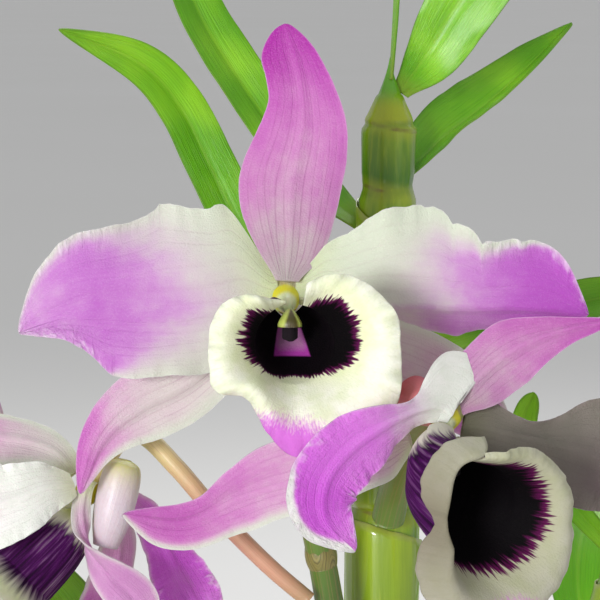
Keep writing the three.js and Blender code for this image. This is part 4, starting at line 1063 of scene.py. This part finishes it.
petal_finish = tepal_finish("petal", 0.3, 1, 0xD0D6C2, 0xCC92CE, 0xB860C0, 0xAE26B8)
# A lighter, pinker copy of the petal finish: painted light for the petals of the right and left blooms.
lit_petal_finish = tepal_finish("lit_petal", 0.3, 1, 0xEEEEE6, 0xE2A4E0, 0xDA74DE, 0xC030CC)
sepal_finish = tepal_finish("sepal", 0.6, 0.25, 0xD4D8C8, 0xD292C4, 0xBE5EB4, 0xA8149E)
TEPAL_GRID = (96, 46)
for bloom_name, bloom in BLOOMS.items():
    rows, columns = (int(count * bloom["fine"]) for count in TEPAL_GRID)
    for number, (part, form) in enumerate(bloom["tepals"].items()):
        petal = part.startswith("petal")
        frill, ragged = ([0.2, 7], 0.012) if petal else ([0.1, 4], 0.006)
        trim = {"keel": -0.35, "frill": frill, "ragged": ragged, **form}
        points, marks = blade_surface(trim, rows, columns, number + 1.7)
        u, v, edge = np.moveaxis(marks["blade"], -1, 0)
        pale = np.where(v > 0, through(form["pale"][1], u), through(form["pale"][0], u))
        fade = np.exp(-((edge / pale) ** form.get("crisp", 2))) * np.clip(1.6 * pale - 0.4, 0.1, 1)
        glow = 1 + form.get("glow", 0) * (2 * v**2 - 0.8)
        blush = np.where(v > 0, through(form.get("lower", form["blush"]), u), through(form["blush"], u))
        blush = np.clip(blush * glow, 0, 1) * (1 - form.get("whiten", 0.88) * fade)
        deep = np.clip(through(form["deep"], u) * glow, 0, 1) * (1 - fade)
        marks["flush"] = joined(blush, deep, form.get("green", 0.5) * bell(u, 0.12))
        # Painted shade along the tepal, from its base to its tip.
        painted_shade = through(form.get("painted_shade", [0, 0]), u)
        marks["veins_and_painted_shade"] = joined(form.get("veins", 0.3) * (1.1 - u) ** 2, painted_shade)
        thickness = 0.2 + 0.4 * (1 - v**2) * (1 - 0.5 * u)
        skin = sheet_skin(in_bloom(bloom, points), thickness, marks)
        finish = sepal_finish
        # The petals of the right and left blooms take the copy with painted light.
        if petal:
            finish = lit_petal_finish if bloom_name in ("right", "left") else petal_finish
        make_piece(f"{bloom_name}_bloom_{part}", [skin], finish)

# ---- The lips ------------------------------------------------------------------------------------
# The third petal of each bloom, rolled into a tube round the column and then spread into a ruffled disc,
# felted with fine down. It is cream, with a fringed maroon-black eye round the throat and a purple tip.

# A margin and an eye are radii at equal steps of the clock, which starts and ends straight above.
OPEN_MARGIN = [
    6, 5.8, 6.8, 8.9, 10.4, 10.9, 11, 11.1, 11.6, 9.2, 9.8, 12, 14.2, 13.8, 14.1, 14.9, 15, 14.1, 13.4, 13.6,
    12.7, 11.8, 10.3, 8.3, 6,
]
OPEN_EYE = [
    5, 5, 5, 6.6, 7.2, 7.1, 6.9, 6.4, 5.8, 5, 4.4, 3.4, 2.4, 3.2, 4.6, 5.6, 6.6, 7.8, 8.3, 8.6, 8.6, 8.1, 7,
    4.6, 3,
]
LIPS = {
    "open": {
        "patch": [[-1.25, -1.8], [2.15, 3.6], -3.3, -7.7],
        "tube": [[0, -1, -2.6], [0.6, -6.5, -4.2], [1.2, -12, -5.7]], "girth": [0.5, 3.7, 4.9, 5.2, 5.4],
        "mouth": [0, 0, 0], "margin": OPEN_MARGIN, "eye": OPEN_EYE,
    },
    "drooping": {
        "tube": [[-0.6, -0.8, -1.4], [-1.7, -5.4, -6.6], [3.4, -10.4, -11.5]],
        "girth": [0.6, 3.5, 4.9, 5.9, 6.8], "mouth": [41, 14, -14],
        "back": [4, 6.3, 7, 6.3, 4.7, 2.7, 0.7, 0, 0, 0, 0, 0, 0], "split": [-8, -8, -6, 0, 6],
        "lean": [0, 0, 4, 8, 14], "spiral": 0.06, "hook": 24, "corner": [24, 24, 0.32],
        "dent": [88, 26, 0.2],
        "margin": [
            10.6, 11.2, 10.8, 9.8, 8.4, 6.7, 6.5, 8.6, 11, 12.4, 13.4, 13.8, 14, 14.2, 14.8, 15, 14.4,
            13.2, 12.2, 11.6, 11, 10.6, 10.4, 10, 9.8,
        ],
        # The drooping lip carries painted shade.
        "teeth": 0.3, "lip_painted_shade": 1, "eye": [6, 6.2, 5.8, 4.3, 6, 7, 7.6, 8.4, 9, 9, 8.6, 8.2, 7.6],
    },
    "turned": {
        "tube": [[-1, 0.4, -2.6], [-4.2, 0.2, -6.2], [-8.8, -0.4, -10.8]],
        "girth": [1.4, 3.6, 4.4, 4.8, 5], "mouth": [-78, 44, 0],
        "margin": OPEN_MARGIN, "eye": OPEN_EYE,
    },
}
# What a lip is like unless its own entry says otherwise, the grid of a whole lip, the share of its rows that
# lie on the tube and the share of u that they span.
LIP = {
    "split": [46, 36, 26, 18, 12], "lean": [0, 0], "hook": 0, "spiral": 0, "corner": [0, 1, 0],
    "dent": [0, 1, 0], "back": [0, 0], "teeth": 1, "lip_painted_shade": 0, "patch": [[0, 0], [0, 0], 0, 0],
}
LIP_GRID = (96, 190)
TUBE_ROWS = 0.4
TUBE_SHARE = 0.45
BLOOM_LIPS = {"front": "open", "right": "drooping", "left": "turned", "back": "open", "high": "open"}


def lip_surface(given, rows, columns, seed):
    """The lip's middle surface and its marks. Along it u rolls round the tube's middle line, at the girth, as
    far as TUBE_SHARE, and then spreads from the throat to the margin, turning back as 4.6 * sin(2 * flare).
    Across it turn, in degrees, goes round from one side of the split to the other; lean and hook carry that
    seam round, and spiral brings one edge over the other. A corner stands out and a dent stands in. The
    margin is ruffled and toothed by sine waves, and back is how far it is rolled back along the tube. A
    patch is a stain between a left and a right line, from a top height to an end."""
    form = {**LIP, **given}
    share = np.linspace(0, 1, rows)
    spread = TUBE_SHARE + (share - TUBE_ROWS) / (1 - TUBE_ROWS) * (1 - TUBE_SHARE)
    u = np.where(share < TUBE_ROWS, share / TUBE_ROWS * TUBE_SHARE, spread)[:, None]
    in_tube = np.minimum(u / TUBE_SHARE, 1)
    flare = np.maximum((u - TUBE_SHARE) / (1 - TUBE_SHARE), 0)
    split, across = through(form["split"], in_tube), np.linspace(0, 1, columns)
    turn = split + through(form["lean"], in_tube) + (360 - 2 * split) * across
    turn = turn - form["hook"] * flare * (1 - across) ** 6
    clock = np.radians(turn)

    def waves(counts, phase, power):
        return sum(np.sin(k * clock + phase * k) / k**power for k in counts)

    place, wide, more = form["corner"]
    corner = 1 + more * bell((turn - place + 180) % 360 - 180, wide) * in_tube**2
    place, wide, less = form["dent"]
    corner = corner - less * bell(turn - place, wide) * in_tube**2
    throat = form["girth"][-1] * corner
    scallops = 0.9 * waves((5, 8, 13), seed, 1)
    teeth = 0.11 * form["teeth"] * waves((19, 31, 47, 73), seed, 0.5)
    margin = through(form["margin"], turn / 360) + teeth + 0.25 * scallops
    breadth = np.clip((margin - throat) / 2.5, 0, 1)
    reach = throat + (margin - throat) * flare
    radius = np.where(flare > 0, reach, through(form["girth"], in_tube) * corner)
    radius = radius * (1 + form["spiral"] * (turn / 180 - 1) * (1 - in_tube**3))
    a = clock + np.pi / 2
    low = np.maximum(0, -np.sin(a))
    ruffle = 0.9 * scallops + 0.3 * form["teeth"] * waves((17, 26, 37), 1.3, 0) * flare**2
    out = breadth * (4.6 * np.sin(2 * flare) + 1.6 * low * np.sin(np.pi * flare) + ruffle * flare**3)
    out = out - breadth * through(form["back"], turn / 360) * flare**2
    groove = 0.5 * bell(clock - np.pi, 0.25) * np.sin(np.pi * flare)
    local = joined(radius * np.cos(a), -out + groove, radius * np.sin(a))
    surface = local @ rotation(*form["mouth"]).T + through(form["tube"], in_tube)
    length = np.linalg.norm(np.subtract(form["tube"][-1], form["tube"][0]))
    span = np.where(flare > 0, reach, throat - (1 - in_tube) * length)
    eye = through(form["eye"], turn / 360) - span
    left, right, top, end = form["patch"]
    x, _, z = np.moveaxis(surface, -1, 0)
    down = np.clip((top - z) / (top - end + 1e-6), 0, 1)
    beside = np.minimum(x - np.interp(down, [0, 1], left), np.interp(down, [0, 1], right) - x)
    patch = np.minimum(beside, np.minimum(z - end, top - z)) * (in_tube < 0.9)
    marks = {
        "zone": joined(eye, (margin - throat) * (1 - flare), bell(turn - 180, 33) * flare),
        "clock": joined(np.cos(clock), np.sin(clock), span / 8),
        "depth": joined(in_tube, flare, turn / 360),
        "patch": joined(patch, down),
        # Painted shade on the lip, heaviest round 80 degrees of its clock.
        "lip_painted_shade": joined(form["lip_painted_shade"] * (0.62 + 0.38 * bell(turn - 80, 60))),
    }
    return surface, marks


lip = Finish(
    "lip", Specular_IOR_Level=0.1, Subsurface_Weight=0.25, Subsurface_Radius=(1.0, 0.85, 0.7),
    Subsurface_Scale=0.001,
)
where = lip.place()
eye, rim, apex = (lip.mark("zone", part) for part in range(3))
in_tube, flare, turn = (lip.mark("depth", part) for part in range(3))
inner = lip.mark("inner", 0)
clock = lip.node("ShaderNodeMapping", inputs={"Vector": lip.mark("clock"), "Scale": (1, 1, 0.12)})
drawn = lip.node("ShaderNodeMapping", inputs={"Vector": lip.mark("clock"), "Scale": (1, 1, 0.3)})
spikes, hairs = lip.cloud(clock, 0.045, 2, 0.5), lip.cloud(drawn, 0.022, 2)
streaks = lip.cloud(clock, 0.09, 3)
down = lip.cloud(where, 0.22, 3, 0.7)
tufts = lip.cells(where, 0.3)
folds = streaks * rim.ease(0.6, 4.2, 1, 0)
body = lip.paint(
    0xF6F6E4,
    (lip.cloud(where, 3, 2).ease(0.35, 0.7), 0xE6EBCB),
    (eye.ease(-3.2, -0.4) * 0.4, 0xDDE6A4),
    (hairs.ease(0.5, 0.75) * 0.18, 0xC9D3A8),
    (folds.ease(0.4, 0.7) * 0.3, 0xC4CBA6),
    # Painted shade: a greyish olive laid over the lip by its shade mark.
    (lip.mark("lip_painted_shade", 0), 0x88826F),
    ((apex + (hairs - 0.5) * 0.4).ease(0.34, 0.68) * 0.9, 0xD05AD4),
    ((eye + (spikes - 0.5) * 3.6).ease(-0.35, 0.15) * inner, 0x5A1148),
    ((eye + (spikes - 0.5) * 3).ease(0.1, 1.0) * inner, 0x050205),
)
patch = lip.mark("patch", 0)
glow = (lip.mark("patch", 1).ease(0.55, 0.95) + patch.ease(0.2, 0.9, 0.5, 0)).least(1)
body = lip.mix(patch.ease(0, 0.3) * inner, body, lip.mix(glow, tone(0xB47AA8), tone(0xB440AC)))
late = (turn - 0.5).size().ease(0.28, 0.46, 0, 0.22)
stain = (in_tube - late + (streaks - 0.5) * 0.4).ease(0.2, 0.38)
stain = stain * (flare + (streaks - 0.5) * 0.5).ease(0.0, 0.4, 1, 0)
outside = lip.paint(0xBFCB5E, (in_tube.ease(0.0, 0.3), 0xD9D6C4))
body = lip.mix((1 - inner) * flare.ease(0.3, 0.0), body, outside)
body = lip.mix((1 - inner) * stain, body, lip.mix(streaks.ease(0.3, 0.7), tone(0x24052A), tone(0x561060)))
lip.wear(body, 0.62 + down * 0.25, down * 0.5 + (1 - tufts) * 0.4 + hairs * 0.6 + folds * 3, 0.08)

for number, (bloom_name, bloom) in enumerate(BLOOMS.items()):
    form = LIPS[BLOOM_LIPS[bloom_name]]
    rows, columns = (int(count * bloom["fine"]) for count in LIP_GRID)
    points, marks = lip_surface(form, rows, columns, 0.7 + number)
    thickness = 0.55 - 0.3 * np.clip(1 - marks["zone"][..., 1] / 2, 0, 1)
    skin = sheet_skin(in_bloom(bloom, points), thickness, marks)
    make_piece(f"{bloom_name}_bloom_lip", [skin], lip)

# ---- Columns and stalks --------------------------------------------------------------------------
# In the middle of each bloom stands the column, waxy and pale green, under a small anther cap. Behind it the
# ovary narrows to a ribbed stalk down to the cane. The foot of the column and the side sepals make a chin.

# For each bloom, from its heart, the tips of the chin and of the column, and how rosy the chin is.
COLUMNS = {
    "front": ([0, 8, -3], [0.6, -8, -2.8], 0),
    "right": ([-5, 4, 3.8], [0.8, -3.4, -4.6], 1),
    "left": ([5.4, -1.6, 4.6], [-5.6, -0.6, -5.2], 0),
    "back": ([0, 8, -3], [0.6, -8, -2.8], 0),
    "high": ([0, 8, -3], [0.6, -8, -2.8], 0),
}
BRACT = [[3.2, -15.8, 196.7], [2.9, -16, 198.2], [2.6, -16.3, 199.6]]
CAP_LINE = [[0, 0.5, 1.3], [0, -0.2, 0.9], [0, -0.8, 0.3], [0, -1.1, -0.3], [0, -1.1, -0.8]]
# Under the cap a near-black piece stands as painted shade in the cavity there.
HOLLOW_LINE = [[0, 0.4, -0.4], [0, 0.1, -1], [0, 0.1, -1.6], [0, 0.4, -2.1]]
STALK, CHIN, CAP, PAPER, HOLLOW_SHADE = range(5)

waxy = Finish(
    "column_and_stalk", Specular_IOR_Level=0.5, Coat_Roughness=0.3, Subsurface_Weight=0.15,
    Subsurface_Scale=0.001,
)
where = waxy.place()
grown, kind, rosy = (waxy.mark(name, 0) for name in ("grown", "kind", "warm"))
ribs = waxy.cloud(waxy.mark("ribs"), 0.25, 3)
specks = waxy.cloud(where, 0.5, 4, 0.7)
# Painted shade: the piece in the cavity is near black, rough and without coat.
hollow_shade = kind.ease(HOLLOW_SHADE - 0.5, HOLLOW_SHADE - 0.2)


def only(number):
    """1 on the pieces of this kind and 0 on the others."""
    return (kind - number).size().ease(0.3, 0.5, 1, 0)


stalk = waxy.paint(
    0x24500E,
    (grown.ease(0.0, 0.35), 0x5E7E28),
    (grown.ease(0.35, 0.9), 0x8B9E46),
    (grown.ease(0.3, 0.55) * rosy, 0xD09C80),
    (grown.ease(0.6, 0.82) * rosy, 0xDDD090),
    (ribs.ease(0.45, 0.7) * 0.4, 0xA9745C),
    (grown.ease(0.97, 0.99), 0xD8D020),
    (grown.ease(1.015, 1.05), 0xD8DFAE),
    (grown.ease(1.12, 1.2) * 0.8, 0xA8C44C),
)
chin = waxy.paint(
    0xD9CBD2,
    (grown.ease(0.35, 0.95), 0xCFD070),
    (specks.ease(0.4, 0.7) * 0.3, 0xC9B0BC),
    (rosy, waxy.paint(0xD07C80, (grown.ease(0.2, 0.9), 0xC2303E))),
)
cap = waxy.paint(
    0xC8D468,
    (specks.ease(0.45, 0.7) * 0.35, 0xA2B04C),
    (rosy, 0x4E461A),
    # Painted shade: the cap's lower rim and underside turn near black over the cavity.
    (grown.ease(0.88, 0.94), 0x2A1A1C),
)
paper = waxy.paint(0x948A4C, (ribs.ease(0.35, 0.7), 0x585226))
body = waxy.paint(stalk, (only(CHIN), chin), (only(CAP), cap), (only(PAPER), paper), (hollow_shade, 0x140712))
roughness, shine = 0.34 + specks * 0.2 + hollow_shade * 0.6, 0.25 - hollow_shade * 0.25
waxy.wear(body, roughness, ribs * 0.6 + specks * 0.4, 0.14, shine)


def column_marks(kind, low=0.0, high=1.0, warm=0.0):
    """The piece's kind, grown from low at its foot to high at its tip, its ribs, and how rosy it is."""
    return {
        "grown": lambda u, turn: low + (high - low) * u,
        "kind": kind,
        "ribs": lambda u, turn: np.cos(3 * turn) + u,
        "warm": warm,
    }


def stalk_radius(share, thin, thick):
    """A stalk that widens to its ovary, six-ribbed and widest just before the heart, which is at share of the
    way, and beyond it the column, which narrows to its tip."""

    def radius(u, turn):
        ovary = 0.5 * bell(u - share + 0.05, 0.09) * (1 + 0.12 * np.cos(6 * turn))
        column = np.clip((u - share) / (1 - share), 0, 1)
        grown = thin + (thick - thin) * np.minimum(u / share, 1) + ovary
        return grown * through([1.06, 0.66, 0.5, 0.42, 0.5], column)

    return radius


def chin_radius(u, turn):
    """A blunt chin."""
    return through([1.7, 2.6, 2.8, 2.3, 0.8], u)


def cap_radius(u, turn):
    """The anther cap, a small helmet, a little wider than it is deep."""
    return through([0.45, 0.8, 1.2, 1.5, 1.5], u) * (1 + 0.06 * np.cos(2 * turn))


def valves(u, turn):
    """1 on the two dark valves in the front of the cap."""
    return np.clip(4 * (0.1 + 0.75 * u - np.abs(np.cos(turn))), 0, 1) * (np.sin(turn) > 0)


def hollow_radius(u, turn):
    """A near-black piece, faintly square, that stands as painted shade in the cavity under the cap."""
    return 0.95 + 0.08 * np.cos(4 * turn)


def cup_radius(u, turn):
    """The papery cup round the foot of a stalk, pleated more towards its rim."""
    return 2 + 0.25 * np.sin(np.pi * u) + 0.06 * np.sin(9 * turn) * u


for bloom_name, bloom in BLOOMS.items():
    chin, anther, warm = (np.array(given) for given in COLUMNS[bloom_name])
    foot = np.array(bloom.get("chin_foot", [0, 0, 0]))
    share = len(bloom["stalk"]) / (len(bloom["stalk"]) + 2)
    column_line = in_bloom(bloom, [[0, 0, 0], 0.5 * anther + [0, 0, 0.5], anther])
    ripe = bloom["ripe"]
    marks = column_marks(STALK, ripe, ripe + (1 - ripe) / share, bloom["rosy"])
    radius = stalk_radius(share, *bloom["thick"])
    skins = [stem([*bloom["stalk"], *column_line], radius, 90, 24, marks)]
    chin_line = in_bloom(bloom, [foot + k * (chin - foot) for k in (0.12, 0.4, 0.75, 0.95, 1.02)])
    skins.append(stem(chin_line, chin_radius, 32, 24, column_marks(CHIN, warm=warm)))
    marks = {**column_marks(CAP), "warm": valves}
    skins.append(stem(in_bloom(bloom, anther + CAP_LINE), cap_radius, 40, 60, marks))
    skins.append(stem(in_bloom(bloom, anther + HOLLOW_LINE), hollow_radius, 20, 24, column_marks(HOLLOW_SHADE)))
    if bloom["bract"]:
        skins.append(stem(BRACT, cup_radius, 24, 36, column_marks(PAPER)))
    make_piece(f"{bloom_name}_bloom_column_and_stalk", skins, waxy)

# ---- The buds ------------------------------------------------------------------------------------
# Two closed buds on a forked stalk. Three sepals meet in seams along each, fleshy and firm, green at the
# base and lilac at the tip.
BUDS = [
    [[-45, 18.8, 191], [-47, 25, 197], [-50, 31, 203], [-52, 36, 210], [-53, 41, 219]],
    [[-47, 25, 197], [-53, 29.5, 199.5], [-58.5, 33, 203], [-63.5, 36, 208], [-67, 40, 215]],
]
BUD_RADIUS = [1.2, 1.2, 1.2, 4.9, 4.6, 1]

bud = Finish("bud", Specular_IOR_Level=0.4, Subsurface_Weight=0.2, Subsurface_Scale=0.001, Sheen_Weight=0.15)
grown, seam = bud.mark("grown", 0), bud.mark("seam", 0)
veins = bud.cloud(bud.mark("ribs"), 0.2, 3)
body = bud.paint(
    0x5E7A26,
    (grown.ease(0.1, 0.55), 0xC8CF9A),
    ((grown + veins * 0.2).ease(0.6, 1.0), 0xC97FC9),
    (veins.ease(0.5, 0.7) * 0.35, 0xA45C9A),
    (seam * 0.5, 0x8C6A8A),
)
bud.wear(body, 0.45 + veins * 0.2, veins * 0.5 + (1 - seam) * 0.6, 0.3)


def seams(turn, wide):
    """1 along each of a bud's three seams."""
    return bell(np.mod(turn, 2 * np.pi / 3) - 0.3, wide)


def bud_radius(u, turn):
    """The stalk, then the bud's swell, pinched by its seams, which closes to a point."""
    pinch = 1 - 0.07 * seams(turn, 0.1) * (u > 0.5)
    return through(BUD_RADIUS, u) * pinch * np.sqrt(np.clip((1.02 - u) / 0.06, 0, 1))


bud_marks = {
    "grown": lambda u, turn: u,
    "seam": lambda u, turn: seams(turn, 0.0775) * (u > 0.45),
    "ribs": lambda u, turn: np.cos(5 * turn),
}
make_piece("buds", [stem(path, bud_radius, 90, 40, bud_marks) for path in BUDS], bud)

# ---- The studio ----------------------------------------------------------------------------------
# A plain pale floor that runs to the horizon, soft light from the front and a little from the left, with
# its lamps far off so that their edges don't cut the floor, and the camera a little above the blooms.
floor_finish = Finish("studio_floor", Specular_IOR_Level=0.2)
drift = floor_finish.cloud(floor_finish.place(), 900, 2)
floor_finish.wear(floor_finish.paint(0xECEBE8, (drift, 0xF0EFED)), 0.8 + drift * 0.1, drift, 0.1)
mesh = bpy.data.meshes.new("studio_floor")
mesh.from_pydata([(-90, -90, 0), (90, -90, 0), (90, 90, 0), (-90, 90, 0)], [], [(0, 1, 2, 3)])
mesh.materials.append(floor_finish.material)
studio_floor = bpy.data.objects.new("studio_floor", mesh)
bpy.context.scene.collection.objects.link(studio_floor)

scene = bpy.context.scene
scene.world = bpy.data.worlds.new("studio")
scene.world.use_nodes = True
sky = scene.world.node_tree.nodes["Background"]
sky.inputs["Color"].default_value = (0.93, 0.94, 0.96, 1)
sky.inputs["Strength"].default_value = 0.52
scene.view_settings.view_transform = "Standard"

LAMPS = [
    ("key", (-1.56, -3.08, 0.65), 0.9, 87.3),
    ("fill", (2.55, -2.36, 0.5), 2.7, 6.3),
    ("back", (0.3, 0.8, 0.9), 0.7, 5),
]
for name, place, size, power in LAMPS:
    lamp = bpy.data.lights.new(name, "AREA")
    lamp.size, lamp.energy = size, power
    stand = bpy.data.objects.new(name, lamp)
    scene.collection.objects.link(stand)
    stand.location = place
    stand.rotation_euler = (Vector((0, -0.02, 0.2)) - Vector(place)).to_track_quat("-Z", "Y").to_euler()

lens = bpy.data.cameras.new("camera")
lens.sensor_width, lens.lens = 36, 157.5
lens.clip_start, lens.clip_end = 0.01, 300
camera = bpy.data.objects.new("camera", lens)
scene.collection.objects.link(camera)
aim, tip_down = Vector((0, -0.025, 0.235)), np.radians(7)
camera.location = aim + 0.35 * Vector((0, -np.cos(tip_down), np.sin(tip_down)))
camera.rotation_euler = (np.pi / 2 - tip_down, 0, 0)
scene.camera = camera
